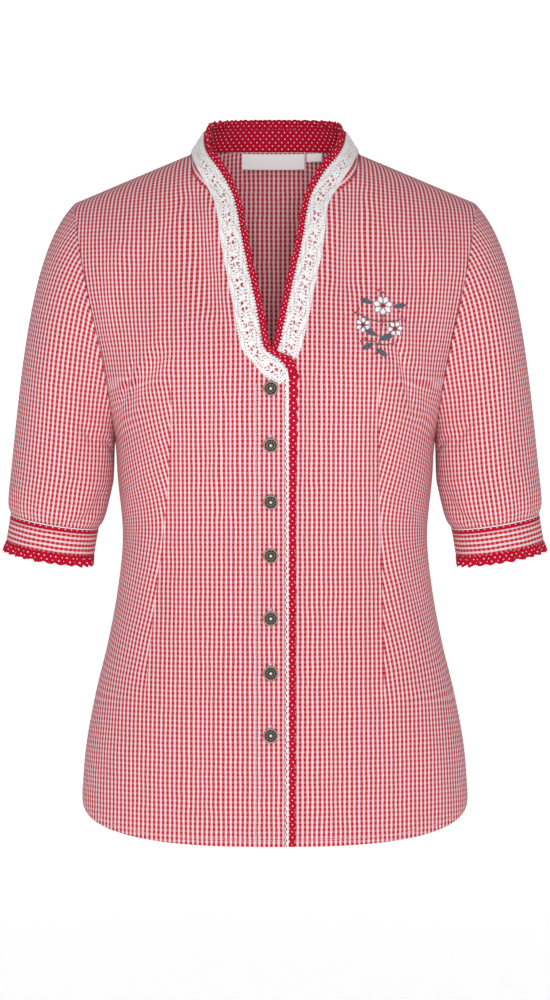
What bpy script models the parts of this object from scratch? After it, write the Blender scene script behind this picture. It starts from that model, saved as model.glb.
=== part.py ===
"""A short-sleeved gingham blouse with a laced V neck, hollow and filled out as if it were worn.

+X is the wearer's left, -Y the front and +Z up. The origin is the middle of the neck opening, level
with the neck ends of the shoulder seams. Tables and sizes are in millimetres, and every mesh is
scaled to metres when it is made.
"""
import math
from collections import namedtuple

import bmesh
import bpy
from mathutils import Vector

MM = 0.001

# Walls and gaps
CLOTH = 1.2
THIN_CLOTH = 1.0
SEAM_GAP = 0.3
STAND_SEAM_GAP = 0.45
LACE_STAND_OFF = 0.9
FRONT_OVERLAP_LIFT = 2.0

# Body
SECTION_POWER = 2.35
HEM_POWER = 2.8
HEM_SIDE_Z = -590.0
HEM_DROP = 42.6
HEM_FALL_POWER = 1.5
UNDERARM_Z = -266.0
NECK_X = 79.0
SHOULDER_X = 186.0
SHOULDER_DROP = 45.0
SHOULDER_ROLL = 80.0
BACK_NECK_Z = 9.0
BACK_NECK_RISE = 0.9
NECK_BLEND_ROWS = 4.0
ROWS_BELOW_ARM = 15
FRONT_COLUMNS = 13
BACK_NECK_COLUMNS = 5
BACK_SHOULDER_COLUMNS = 7
ARMHOLE_BLEND_POWER = 4
BUST_X = 85.0
BUST_Z = -196.0
BUST_SPREAD_X = 52.0
BUST_SPREAD_Z = 58.0
BUST_FULLNESS = 12.0
PLACKET_RAMP_START = -33.0
PLACKET_RAMP_END = -14.0

# Body sections: height, half width, and depth in front of and behind the side seams
Level = namedtuple("Level", "z half_width front back")
LEVELS = [
    Level(-645, 179.5, 102, 117),
    Level(-600, 179.0, 103, 117),
    Level(-550, 175.5, 103, 114),
    Level(-500, 166.5, 101, 106),
    Level(-450, 154.5, 97, 93),
    Level(-400, 145.5, 93, 80),
    Level(-353, 141.3, 93, 74),
    Level(-300, 146.0, 101, 81),
    Level(-266, 148.5, 108, 89),
    Level(-240, 155.0, 112, 95),
    Level(-195, 170.0, 114, 102),
    Level(-155, 183.0, 108, 104),
    Level(-120, 193.0, 99, 101),
    Level(-90, 199.0, 89, 95),
    Level(-50, 204.0, 76, 84),
    Level(0, 206.0, 62, 70),
    Level(30, 206.0, 55, 64),
]

# Armhole from underarm to shoulder tip, and the height where each row of cloth meets the front edge
ArmRow = namedtuple("ArmRow", "x z front_y back_y edge_z")
ARM_ROWS = [
    ArmRow(148.5, -266, 0, 0, -266),
    ArmRow(149.3, -254, -22, 24, -234),
    ArmRow(151.5, -233, -38, 43, -202),
    ArmRow(155.5, -206, -48, 55, -182),
    ArmRow(160.8, -178, -55, 61, -150),
    ArmRow(167.0, -150, -57, 64, -118),
    ArmRow(173.0, -122, -55, 61, -86),
    ArmRow(178.0, -96, -48, 53, -50),
    ArmRow(182.0, -73, -36, 40, -38),
    ArmRow(185.0, -54, -18, 20, -22),
    ArmRow(186.0, -45, 0, 0, 0),
]
ARM_STEPS = len(ARM_ROWS) - 1
BODY_ROWS = ROWS_BELOW_ARM + ARM_STEPS

# Front edge and neckline of the two fronts: the right one laps over the left one
EdgeRow = namedtuple("EdgeRow", "z right_x left_x")
FRONT_EDGE = [
    EdgeRow(-645, 8.9, -11.5),
    EdgeRow(-234, 8.9, -11.5),
    EdgeRow(-202, 8.9, -8.0),
    EdgeRow(-182, -11.0, 4.2),
    EdgeRow(-150, -16.4, 10.8),
    EdgeRow(-118, -23.2, 17.6),
    EdgeRow(-86, -29.8, 24.8),
    EdgeRow(-50, -37.0, 31.5),
    EdgeRow(-38, -61.5, 59.0),
    EdgeRow(-22, -75.5, 74.5),
    EdgeRow(0, -79.0, 79.0),
]

# Columns of the stand collar at each front end that the facing leaves out
FACING_END = 2

# Back neck seam and the top of the stand collar above it, from centre back to the neck point
StandRow = namedtuple("StandRow", "x y z top_x top_y top_z")
STAND_BACK = [
    StandRow(0, 66, 9, 0, 61, 31),
    StandRow(24.4, 63.5, 8.8, 22, 58.7, 30.7),
    StandRow(46.4, 54.5, 7.8, 41.5, 50, 29.5),
    StandRow(63.9, 40.5, 6, 56, 36, 27.5),
    StandRow(75.1, 22, 3.2, 64, 18, 24),
    StandRow(79, 0, 0, 66, -2, 19),
]

# Top edge of the stand collar in front of the neck point, one row for each neckline row of the fronts
StandFrontRow = namedtuple("StandFrontRow", "seam_z right_x left_x y z")
STAND_FRONT = [
    StandFrontRow(-22, -63.0, 60.0, -34, -1),
    StandFrontRow(-38, -49.0, 44.0, -53, -22.5),
    StandFrontRow(-50, -37.3, 31.8, None, -45.5),
]

# Lace band from the neck point down the V: its inner edge runs along the neck opening and its outer
# edge lies on the stand or the front; a missing y lies on the front
LaceRow = namedtuple("LaceRow", "x y z out_x out_y out_z")
LACE_RIGHT = [
    LaceRow(-63.0, -34, -1, -71.5, -43.6, -17),
    LaceRow(-49.0, -53, -22.5, -61.5, None, -36.5),
    LaceRow(-37.3, None, -47, -54.5, None, -53.5),
    LaceRow(-29.8, None, -86, -49.0, None, -90.5),
    LaceRow(-23.2, None, -118, -42.8, None, -123),
    LaceRow(-16.4, None, -150, -36.3, None, -156),
    LaceRow(-11.5, None, -178, -31.0, None, -184),
    LaceRow(-9.0, None, -186, -25.5, None, -192.5),
    LaceRow(-2.0, None, -191.5, -19.0, None, -199.5),
    LaceRow(4.0, None, -196, -13.0, None, -206),
    LaceRow(8.3, None, -202, -6.0, None, -211.5),
]
LACE_LEFT = [
    LaceRow(60.0, -34, -1, 69.0, -43.0, -17),
    LaceRow(44.0, -53, -22.5, 57.5, None, -36.5),
    LaceRow(31.8, None, -47, 48.5, None, -53.5),
    LaceRow(24.8, None, -86, 44.0, None, -90.5),
    LaceRow(17.6, None, -118, 37.4, None, -123),
    LaceRow(10.8, None, -150, 30.8, None, -156),
    LaceRow(4.8, None, -178, 24.5, None, -183),
    LaceRow(2.0, None, -188, 19.5, None, -195),
]
LACE_WIDTH = 20.0
LACE_REPEAT = 24.0
LACE_SLOT_LONG = 7.4
LACE_SLOT_SHORT = 5.6
LACE_BRIDGE = 2.0
LACE_SLOT_START = 0.45
LACE_SLOT_END = 0.55

# Soft folds and darts of the fronts: a trough or, with a negative depth, a ridge between two points
Fold = namedtuple("Fold", "x z end_x end_z spread depth")
FRONT_FOLDS = [
    Fold(-72, -48, -54, -140, 13, 2.4),
    Fold(-62, -60, -46, -150, 10, -1.4),
    Fold(70, -46, 62, -120, 13, 2.4),
    Fold(-143, -244, -104, -200, 11, 2.6),
    Fold(-146, -225, -112, -178, 12, -1.6),
    Fold(142, -240, 104, -188, 11, 2.6),
    Fold(146, -218, 116, -170, 12, -1.6),
    Fold(-95, -212, -98, -345, 12, 2.2),
    Fold(-98, -345, -117, -500, 12, 1.8),
    Fold(94, -245, 97, -380, 12, 2.2),
    Fold(97, -380, 98, -505, 12, 1.6),
    Fold(-112, -352, -140, -460, 14, -2.0),
    Fold(108, -372, 134, -440, 14, -2.0),
]

# Sleeve below the armhole: centre, half width, half depth and tilt of each ring
ArmRing = namedtuple("ArmRing", "x y z half_width half_depth tilt")
ARM_RINGS = [
    ArmRing(197.4, -4, -298.0, 47.7, 53.0, 7.0),
    ArmRing(201.3, -6, -322.0, 46.2, 50.0, 8.5),
    ArmRing(203.2, -7, -333.0, 44.4, 46.0, 9.4),
    ArmRing(204.2, -7, -339.2, 41.2, 41.5, 9.4),
]
SLEEVE_CAP_RINGS = 8
ARM_COLUMNS = 2 * ARM_STEPS
ARM_WAY = (0.10, 0.0, -0.995)

# How the sleeve cap leaves the armhole: its way outwards and down, how far that way holds, and how
# far above the first arm ring the cloth already hangs along the arm
CapWay = namedtuple("CapWay", "outward down reach hang")
CAP_TIP = CapWay(0.70, 0.71, 55.0, 110.0)
CAP_FACE = CapWay(0.93, 0.36, 36.0, 58.0)
CAP_UNDERARM = CapWay(0.12, 0.99, 7.0, 12.0)

# Cuff, measured down its own axis from its top edge
CUFF_TILT = 9.4
CUFF_COLUMNS = 24
CUFF_PIPING = 1.4
CUFF_PIPING_PROUD = 0.3
CUFF_BINDING_END = 6.2
CUFF_BAND_END = 25.4
CUFF_RUFFLE_END = 35.0
CUFF_RUFFLE_WAVES = 22
CUFF_RUFFLE_WAVE = 1.9
CUFF_RUFFLE_FLARE = 1.5

# Ruffles and trims of the neck and front
RUFFLE_STEPS = 3
NECK_RUFFLE_WAVES = 62
NECK_RUFFLE_WIDTH = 8.0
NECK_RUFFLE_WAVE = 1.6
NECK_RUFFLE_START = 0.9
NECK_RUFFLE_SINK = 0.9
NECK_RUFFLE_LIFT = 3.9
NECK_RUFFLE_LAP_Z = -150.0
NECK_RUFFLE_LAP_LENGTH = 25.0
NECK_RUFFLE_LAP_WAVE = 0.55
PATH_STEP = 1.0
FRONT_RUFFLE_WAVES = 40
FRONT_RUFFLE_WAVE = 0.9
FRONT_RUFFLE_LIFT = 2.1
FRONT_RUFFLE_X = 12.6
TRIM_X = 9.4
TRIM_END_X = 12.2
TRIM_ROWS = 28
TRIM_STAND_OFF = 0.6

# Width of the front ruffle at each height
WidthRow = namedtuple("WidthRow", "z width")
FRONT_RUFFLE_WIDTHS = [WidthRow(-632, 5.4), WidthRow(-320, 6.4), WidthRow(-204, 8.2)]

# Buttons
BUTTON_X = -3.8
BUTTON_HEIGHTS = (-221.0, -271.6, -322.6, -371.3, -427.8, -476.9, -532.4)
BUTTON_RADIUS = 6.7
BUTTON_STEPS = 14
BUTTON_MERGE = 0.00005
ProfileRow = namedtuple("ProfileRow", "radius height")
BUTTON_PROFILE = [
    ProfileRow(0.0, 3.3),
    ProfileRow(1.2, 3.1),
    ProfileRow(2.2, 2.0),
    ProfileRow(4.6, 2.2),
    ProfileRow(5.6, 2.8),
    ProfileRow(BUTTON_RADIUS, 2.2),
    ProfileRow(BUTTON_RADIUS - 0.3, 0.9),
    ProfileRow(0.0, 0.3),
]

# Labels, in columns and rows of the back
LABEL_COLUMNS = (-1.3, -1.0, 0.0, 1.0, 1.15)
SIZE_LABEL_COLUMNS = (1.25, 2.0)
LABEL_TOP = 0.06
LABEL_DROP = 0.6
SIZE_LABEL_DROP = 0.32
LABEL_STAND_OFF = 1.0

# Colours and finishes: colour, roughness and metallic value
Finish = namedtuple("Finish", "colour roughness metallic")
FINISHES = {
    "gingham": Finish((0.74, 0.26, 0.28), 0.85, 0.0),
    "pin_dot": Finish((0.55, 0.01, 0.04), 0.8, 0.0),
    "lace": Finish((0.85, 0.84, 0.82), 0.9, 0.0),
    "piping": Finish((0.82, 0.78, 0.79), 0.85, 0.0),
    "pewter": Finish((0.22, 0.19, 0.17), 0.42, 0.9),
    "label": Finish((0.83, 0.81, 0.80), 0.7, 0.0),
}


def curve_value(keys, values, key):
    """Smooth value at key through points whose keys rise; it is held past both ends."""
    if key <= keys[0]:
        return values[0]
    if key >= keys[-1]:
        return values[-1]
    last = len(keys) - 1
    low = 0
    while keys[low + 1] < key:
        low += 1
    span = keys[low + 1] - keys[low]

    def slope(i):
        before = max(i - 1, 0)
        after = min(i + 1, last)
        return (values[after] - values[before]) / (keys[after] - keys[before])

    t = (key - keys[low]) / span
    rise = t * t * (3.0 - 2.0 * t)
    start = t * (1.0 - t) ** 2 * span * slope(low)
    end = t * t * (t - 1.0) * span * slope(low + 1)
    return values[low] + (values[low + 1] - values[low]) * rise + start + end


def read(table, key_name, value_name, key):
    """Smooth value of one named column of a table at a value of another."""
    keys = [getattr(row, key_name) for row in table]
    values = [getattr(row, value_name) for row in table]
    return curve_value(keys, values, key)


def row_value(table, name, index):
    """Smooth value of one named column at a whole or part row number."""
    return curve_value(range(len(table)), [getattr(row, name) for row in table], index)


def straight_value(table, key_name, value_name, key):
    """Value of a named column on straight lines between rows."""
    for low, high in zip(table, table[1:]):
        start = getattr(low, key_name)
        end = getattr(high, key_name)
        if start <= key <= end:
            t = (key - start) / (end - start)
            return mix(getattr(low, value_name), getattr(high, value_name), t)
    nearest = table[0] if key < getattr(table[0], key_name) else table[-1]
    return getattr(nearest, value_name)


def mix(a, b, t):
    return a + (b - a) * t


def ease(t):
    t = min(max(t, 0.0), 1.0)
    return t * t * (3.0 - 2.0 * t)


def roundness(share, power):
    """Depth of a superellipse at a share of its half width."""
    return max(0.0, 1.0 - min(abs(share), 1.0) ** power) ** (1.0 / power)


def half_width(z):
    return read(LEVELS, "z", "half_width", z)


def shoulder_roll(x, z, neck_rise):
    """Share of the depth that is left near the shoulder line, where the cloth turns to the top."""
    outside = abs(x) - NECK_X
    if outside >= 0.0:
        ridge = -outside * SHOULDER_DROP / (SHOULDER_X - NECK_X)
    else:
        ridge = -outside * neck_rise
    below = min(max((ridge - z) / SHOULDER_ROLL, 0.0), 1.0)
    return math.sqrt(1.0 - (1.0 - below) ** 2)


def fold_depth(folds, x, z):
    """How far the troughs and ridges near a point move it inwards."""
    total = 0.0
    for fold in folds:
        along = Vector((fold.end_x - fold.x, fold.end_z - fold.z))
        offset = Vector((x - fold.x, z - fold.z))
        t = min(max(offset.dot(along) / along.length_squared, 0.0), 1.0)
        distance = (offset - along * t).length
        total += fold.depth * math.exp(-(distance / fold.spread) ** 2)
    return total


def front_depth(x, z):
    """Distance of the front's outer face in front of the side seams."""
    shape = roundness(x / half_width(z), SECTION_POWER)
    depth = read(LEVELS, "z", "front", z) * shape * shoulder_roll(x, z, 0.0)
    across = ((abs(x) - BUST_X) / BUST_SPREAD_X) ** 2
    upward = ((z - BUST_Z) / BUST_SPREAD_Z) ** 2
    bust = BUST_FULLNESS * math.exp(-across - upward)
    return depth + (bust - fold_depth(FRONT_FOLDS, x, z)) * shape


def back_depth(x, z):
    shape = roundness(x / half_width(z), SECTION_POWER)
    return read(LEVELS, "z", "back", z) * shape * shoulder_roll(x, z, BACK_NECK_RISE)


def overlap_lift(x):
    """How far the right front rises towards the centre, where it laps over the left front."""
    t = (x - PLACKET_RAMP_START) / (PLACKET_RAMP_END - PLACKET_RAMP_START)
    return FRONT_OVERLAP_LIFT * ease(t)


def row_outer_end(row, behind):
    """Outer end of a row of body cloth: on the side seam below the arm, then on the armhole."""
    if row <= ROWS_BELOW_ARM:
        z = mix(HEM_SIDE_Z, UNDERARM_Z, row / ROWS_BELOW_ARM)
        return half_width(z), 0.0, z
    index = row - ROWS_BELOW_ARM
    y = row_value(ARM_ROWS, "back_y" if behind else "front_y", index)
    return row_value(ARM_ROWS, "x", index), y, row_value(ARM_ROWS, "z", index)


def hem_fall(row):
    """How far the middle of a row hangs below its ends, all of it at the hem."""
    return HEM_DROP * max(0.0, 1.0 - row / ROWS_BELOW_ARM) ** HEM_FALL_POWER


def front_point(side, share, row):
    """Outer face of a front: share 0 is its front edge or neckline, 1 its side seam or armhole."""
    outer_x, outer_y, outer_z = row_outer_end(row, False)
    if row <= ROWS_BELOW_ARM:
        edge_z = outer_z - hem_fall(row)
    else:
        edge_z = row_value(ARM_ROWS, "edge_z", row - ROWS_BELOW_ARM)
    edge_name = "left_x" if side > 0 else "right_x"
    edge_x = side * straight_value(FRONT_EDGE, "z", edge_name, edge_z)
    edge_turn = math.asin(edge_x / half_width(edge_z))
    outer_turn = math.asin(min(outer_x / half_width(outer_z), 1.0))
    sine = math.sin(mix(edge_turn, outer_turn, share))
    if row <= ROWS_BELOW_ARM:
        fall = roundness(sine, HEM_POWER)
    else:
        near_x = sine * half_width(mix(edge_z, outer_z, share))
        fall = (outer_x - near_x) / (outer_x - edge_x)
    z = mix(outer_z, edge_z, fall)
    x = side * sine * half_width(z)
    depth = front_depth(x, z)
    outer_depth = front_depth(outer_x, outer_z)
    depth += (-outer_y - outer_depth) * share ** ARMHOLE_BLEND_POWER
    if side < 0:
        depth += overlap_lift(x)
    return Vector((x, -max(depth, SEAM_GAP / 2.0), z))


def back_point(share, row):
    """Outer face of the back: share runs from -1 on the right to 1 on the left."""
    outer_x, outer_y, outer_z = row_outer_end(row, True)
    outer_turn = math.asin(min(outer_x / half_width(outer_z), 1.0))
    sine = math.sin(outer_turn * abs(share))
    side = 1.0 if share >= 0.0 else -1.0
    if row <= ROWS_BELOW_ARM:
        middle_z = outer_z - hem_fall(row)
        fall = roundness(sine, HEM_POWER)
    else:
        rise = (row - ROWS_BELOW_ARM) / ARM_STEPS
        middle_z = mix(UNDERARM_Z, BACK_NECK_Z, rise)
        top_x = sine / math.sin(outer_turn) * SHOULDER_X
        if top_x < NECK_X:
            top_z = read(STAND_BACK, "x", "z", top_x)
        else:
            top_z = -(top_x - NECK_X) * SHOULDER_DROP / (SHOULDER_X - NECK_X)
        fall = (top_z + SHOULDER_DROP) / (BACK_NECK_Z + SHOULDER_DROP)
    z = mix(outer_z, middle_z, fall)
    x = sine * half_width(z)
    depth = back_depth(x, z)
    depth += (outer_y - back_depth(outer_x, outer_z)) * abs(share) ** ARMHOLE_BLEND_POWER
    if row > ROWS_BELOW_ARM and top_x < NECK_X:
        near_top = max(0.0, 1.0 - (BODY_ROWS - row) / NECK_BLEND_ROWS) ** 2
        depth += (read(STAND_BACK, "x", "y", top_x) - back_depth(top_x, top_z)) * near_top
    return Vector((side * x, max(depth, SEAM_GAP / 2.0), z))


def grid_of(point, columns, rows):
    """Rows of points, one for each row value, each with one point for each column value."""
    return [[point(column, row) for column in columns] for row in rows]


def even(count, start=0.0, end=1.0):
    return [mix(start, end, i / count) for i in range(count + 1)]


def back_columns():
    """Column shares of the back, with one column on each neck point."""
    shoulder_turn = math.asin(SHOULDER_X / half_width(-SHOULDER_DROP))
    half = []
    for turn in even(BACK_NECK_COLUMNS, 0.0, math.pi / 2.0):
        half.append(math.asin(NECK_X * math.sin(turn) / half_width(0.0)) / shoulder_turn)
    half += even(BACK_SHOULDER_COLUMNS, half[-1], 1.0)[1:]
    return [-share for share in reversed(half[1:])] + half


def armhole_point(side, column):
    """Armhole from the shoulder tip down the front to the underarm and up the back."""
    behind = column > ARM_STEPS
    index = column - ARM_STEPS if behind else ARM_STEPS - column
    y = row_value(ARM_ROWS, "back_y" if behind else "front_y", index)
    return Vector((side * row_value(ARM_ROWS, "x", index), y, row_value(ARM_ROWS, "z", index)))


def ring_point(side, centre, half_across, half_deep, tilt, turn):
    """Point of a tilted ring round an arm: turn 0 is its outer side, a quarter turn its front."""
    slope = math.radians(tilt)
    across = Vector((side * math.cos(slope), 0.0, math.sin(slope)))
    forward = Vector((0.0, -1.0, 0.0))
    return centre + across * half_across * math.cos(turn) + forward * half_deep * math.sin(turn)


def arm_ring_point(side, ring, turn):
    centre = Vector((
        side * row_value(ARM_RINGS, "x", ring),
        row_value(ARM_RINGS, "y", ring),
        row_value(ARM_RINGS, "z", ring),
    ))
    width = row_value(ARM_RINGS, "half_width", ring)
    deep = row_value(ARM_RINGS, "half_depth", ring)
    return ring_point(side, centre, width, deep, row_value(ARM_RINGS, "tilt", ring), turn)


def sleeve_point(side, column, ring):
    """Outer face of a sleeve: ring 0 lies on the armhole, the cap rings bend it down the arm."""
    turn = 2.0 * math.pi * column / ARM_COLUMNS
    if ring >= SLEEVE_CAP_RINGS:
        return arm_ring_point(side, ring - SLEEVE_CAP_RINGS, turn)
    tip = max(math.cos(turn), 0.0) ** 2
    under = max(-math.cos(turn), 0.0) ** 2
    leave = Vector()
    reach = 0.0
    hang = 0.0
    for way, share in ((CAP_TIP, tip), (CAP_FACE, math.sin(turn) ** 2), (CAP_UNDERARM, under)):
        leave += Vector((side * way.outward, 0.0, -way.down)) * share
        reach += way.reach * share
        hang += way.hang * share
    leave.normalize()
    start = armhole_point(side, column) + leave * SEAM_GAP
    end = arm_ring_point(side, 0, turn)
    arrive = Vector((side * ARM_WAY[0], ARM_WAY[1], ARM_WAY[2]))
    t = ring / SLEEVE_CAP_RINGS
    s = 1.0 - t
    point = start * s ** 3 + (start + leave * reach) * 3.0 * t * s ** 2
    return point + (end - arrive * hang) * 3.0 * t ** 2 * s + end * t ** 3


def bend(before, point, after):
    """Unit direction of a line through a point and the cosine of half its turn there."""
    into = (point - before).normalized()
    out = (after - point).normalized()
    both = into + out
    if into.length == 0.0 or out.length == 0.0:
        return both.normalized(), 1.0
    return both.normalized(), both.length / 2.0


def grid_normals(grid, closed):
    """Outward directions at the points of a grid whose rows rise and columns run to the left.

    A direction is longer than 1 where the grid bends, so that moved walls stay parallel.
    """
    normals = []
    last_row = len(grid) - 1
    count = len(grid[0])
    for r, row in enumerate(grid):
        line = []
        for c, point in enumerate(row):
            before = row[c - 1] if closed or c > 0 else point
            after = row[(c + 1) % count] if closed or c < count - 1 else point
            across, across_cosine = bend(before, point, after)
            upward, upward_cosine = bend(grid[max(r - 1, 0)][c], point, grid[min(r + 1, last_row)][c])
            normal = across.cross(upward).normalized()
            line.append(normal / (across_cosine * upward_cosine))
        normals.append(line)
    return normals


def flipped(normals):
    return [[-normal for normal in line] for line in normals]


def wall_mesh(name, grid, normals, thickness, closed=False, gaps=()):
    """Closed cloth wall: the grid is its outer face and the inner face lies a thickness inside.

    Both faces split their cells along the same diagonals, so that layers stay parallel.
    """
    mesh_data = bmesh.new()
    rows = len(grid)
    count = len(grid[0])
    outer = []
    inner = []
    for line, directions in zip(grid, normals):
        outer.append([mesh_data.verts.new(point * MM) for point in line])
        deep = [p - d * thickness for p, d in zip(line, directions)]
        inner.append([mesh_data.verts.new(point * MM) for point in deep])
    cell_columns = count if closed else count - 1
    cells = {(r, c) for r in range(rows - 1) for c in range(cell_columns)} - set(gaps)
    for r, c in sorted(cells):
        d = (c + 1) % count
        corners = [(r, c), (r, d), (r + 1, d), (r + 1, c)]
        for half in (corners[:3], [corners[0], corners[2], corners[3]]):
            mesh_data.faces.new([outer[i][j] for i, j in half])
            mesh_data.faces.new([inner[i][j] for i, j in reversed(half)])
        left = ((c - 1) % count) if closed else c - 1
        right = ((c + 1) % count) if closed else c + 1
        neighbours = [(r - 1, c), (r, right), (r + 1, c), (r, left)]
        for side, neighbour in enumerate(neighbours):
            if neighbour not in cells:
                i, j = corners[side]
                k, m = corners[(side + 1) % 4]
                mesh_data.faces.new([outer[k][m], outer[i][j], inner[i][j], inner[k][m]])
    loose = [vertex for vertex in mesh_data.verts if not vertex.link_faces]
    bmesh.ops.delete(mesh_data, geom=loose, context="VERTS")
    bmesh.ops.recalc_face_normals(mesh_data, faces=mesh_data.faces)
    mesh = bpy.data.meshes.new(name)
    mesh_data.to_mesh(mesh)
    mesh_data.free()
    return mesh


def finish_material(finish_name):
    material = bpy.data.materials.get(finish_name)
    if material is None:
        finish = FINISHES[finish_name]
        material = bpy.data.materials.new(finish_name)
        material.use_nodes = True
        shader = material.node_tree.nodes["Principled BSDF"]
        shader.inputs["Base Color"].default_value = (*finish.colour, 1.0)
        shader.inputs["Roughness"].default_value = finish.roughness
        shader.inputs["Metallic"].default_value = finish.metallic
        material.diffuse_color = (*finish.colour, 1.0)
    return material


def add_piece(collection, name, data, finish_name):
    data.materials.append(finish_material(finish_name))
    piece = bpy.data.objects.new(name, data)
    collection.objects.link(piece)
    return piece


def share_seam_normals(body, side, front_name):
    """Panels and sleeve use one direction along each seam, so their walls stay parallel there."""
    fronts = body[front_name]["normals"]
    backs = body["back"]["normals"]
    sleeves = body["sleeve_right" if side < 0 else "sleeve_left"]["normals"]
    back_end = -1 if side > 0 else 0
    front_end = -1 if side > 0 else 0
    for row in range(ROWS_BELOW_ARM + 1):
        shared = (fronts[row][front_end] + backs[row][back_end])
        shared.y = 0.0
        fronts[row][front_end] = shared.normalized()
        backs[row][back_end] = shared.normalized()
    for index in range(1, ARM_STEPS + 1):
        row = ROWS_BELOW_ARM + index
        joins = (
            (fronts, front_end, ARM_STEPS - index),
            (backs, back_end, (ARM_STEPS + index) % ARM_COLUMNS),
        )
        for panel, end, column in joins:
            if panel[row][end].dot(sleeves[0][column]) > 0.0:
                shared = (panel[row][end] + sleeves[0][column]).normalized()
                panel[row][end] = shared
                sleeves[0][column] = shared
    tip = (fronts[-1][front_end] + backs[-1][back_end] + sleeves[0][0])
    tip.y = 0.0
    tip.normalize()
    fronts[-1][front_end] = tip
    backs[-1][back_end] = tip
    sleeves[0][0] = tip


def level_shoulder_normals(body):
    """Directions on the shoulder seams lie in the seam's own upright plane."""
    for name in ("front_right", "front_left"):
        for normal in body[name]["normals"][-1]:
            normal.y = 0.0
            normal.normalize()
    top = body["back"]["normals"][-1]
    for column in range(1, BACK_SHOULDER_COLUMNS + 1):
        for normal in (top[column], top[-1 - column]):
            normal.y = 0.0
            normal.normalize()


def body_grids():
    """Grids and outward directions of the fronts, back and sleeves."""
    body = {}
    rows = even(BODY_ROWS, 0, BODY_ROWS)
    for side, name in ((-1, "front_right"), (1, "front_left")):
        columns = even(FRONT_COLUMNS)
        if side < 0:
            columns.reverse()
        grid = grid_of(lambda share, row, s=side: front_point(s, share, row), columns, rows)
        body[name] = {"grid": grid, "normals": grid_normals(grid, False)}
    grid = grid_of(back_point, back_columns(), rows)
    body["back"] = {"grid": grid, "normals": flipped(grid_normals(grid, False))}
    rings = even(SLEEVE_CAP_RINGS + len(ARM_RINGS) - 1, 0, SLEEVE_CAP_RINGS + len(ARM_RINGS) - 1)
    for side, name in ((-1, "sleeve_right"), (1, "sleeve_left")):
        grid = grid_of(lambda c, r, s=side: sleeve_point(s, c, r), range(ARM_COLUMNS), rings)
        normals = grid_normals(grid, True)
        if side < 0:
            normals = flipped(normals)
        body[name] = {"grid": grid, "normals": normals}
    share_seam_normals(body, -1, "front_right")
    share_seam_normals(body, 1, "front_left")
    level_shoulder_normals(body)
    return body


def make_body(collection, body):
    for name, parts in body.items():
        closed = name.startswith("sleeve")
        mesh = wall_mesh(name, parts["grid"], parts["normals"], CLOTH, closed)
        add_piece(collection, name, mesh, "gingham")


def on_front(side, x, z, out):
    """Point a distance outside the front's outer face."""
    lift = overlap_lift(x) if side < 0 else 0.0
    return Vector((x, -front_depth(x, z) - lift - out, z))


def stand_stations(side):
    """Bottom and top points of the stand collar from the front end back to the centre back."""
    stations = []
    edge_name = "left_x" if side > 0 else "right_x"
    for row in reversed(STAND_FRONT):
        seam_x = straight_value(FRONT_EDGE, "z", edge_name, row.seam_z)
        bottom = on_front(side, seam_x, row.seam_z, 0.0)
        top_x = row.left_x if side > 0 else row.right_x
        if row.y is None:
            top = on_front(side, top_x, row.z, 0.0)
        else:
            top = Vector((top_x, row.y, row.z))
        stations.append((bottom, top))
    columns = [share for share in back_columns() if share >= 0.0][:BACK_NECK_COLUMNS + 1]
    for share in reversed(columns):
        bottom = back_point(share, BODY_ROWS)
        x = bottom.x
        top = Vector((
            side * read(STAND_BACK, "x", "top_x", x),
            read(STAND_BACK, "x", "top_y", x),
            read(STAND_BACK, "x", "top_z", x),
        ))
        bottom.x *= side
        stations.append((bottom, top))
    return stations


def stand_grid():
    """Stand collar from its right front end round the back to its left front end."""
    stations = stand_stations(-1) + list(reversed(stand_stations(1)))[1:]
    grid = []
    for t in (0.0, 0.5, 1.0):
        line = []
        for bottom, top in stations:
            rise = (top - bottom).normalized()
            line.append(mix(bottom + rise * STAND_SEAM_GAP, top, t))
        grid.append(line)
    return grid, flipped(grid_normals(grid, False))


def moved(grid, normals, distance):
    """Points of a grid moved along its outward directions."""
    return [[p + n * distance for p, n in zip(line, ways)] for line, ways in zip(grid, normals)]


def make_collar(collection):
    grid, normals = stand_grid()
    add_piece(collection, "collar_stand", wall_mesh("collar_stand", grid, normals, CLOTH), "gingham")
    inside = moved(grid, normals, -CLOTH - SEAM_GAP)
    inside = [line[FACING_END:-FACING_END] for line in inside]
    inside_normals = [line[FACING_END:-FACING_END] for line in normals]
    mesh = wall_mesh("collar_facing", inside, inside_normals, THIN_CLOTH)
    add_piece(collection, "collar_facing", mesh, "pin_dot")


def lace_path(side):
    """Inner and outer edges of the lace band from centre back down to the end of the V."""
    edges = []
    for row in STAND_BACK:
        inner = Vector((side * row.top_x, row.top_y, row.top_z))
        seam = Vector((side * row.x, row.y, row.z))
        edges.append((inner, inner + (seam - inner).normalized() * LACE_WIDTH))
    for row in LACE_LEFT if side > 0 else LACE_RIGHT:
        inner = Vector((row.x, row.y or 0.0, row.z))
        if row.y is None:
            inner = on_front(side, row.x, row.z, 0.0)
        outer = Vector((row.out_x, row.out_y or 0.0, row.out_z))
        if row.out_y is None:
            outer = on_front(side, row.out_x, row.out_z, 0.0)
        edges.append((inner, outer))
    return edges


def path_lengths(points):
    lengths = [0.0]
    for start, end in zip(points, points[1:]):
        lengths.append(lengths[-1] + (end - start).length)
    return lengths


def path_point(points, lengths, distance):
    """Smooth point at a distance along a chain of points."""
    return Vector(curve_value(lengths, [p[axis] for p in points], distance) for axis in range(3))


def band_line(edges, distance):
    """Inner and outer point of a band at a distance along its middle."""
    lengths = path_lengths([(inner + outer) / 2.0 for inner, outer in edges])
    inner = path_point([edge[0] for edge in edges], lengths, distance)
    return inner, path_point([edge[1] for edge in edges], lengths, distance)


def band_length(edges):
    return path_lengths([(inner + outer) / 2.0 for inner, outer in edges])[-1]


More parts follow.
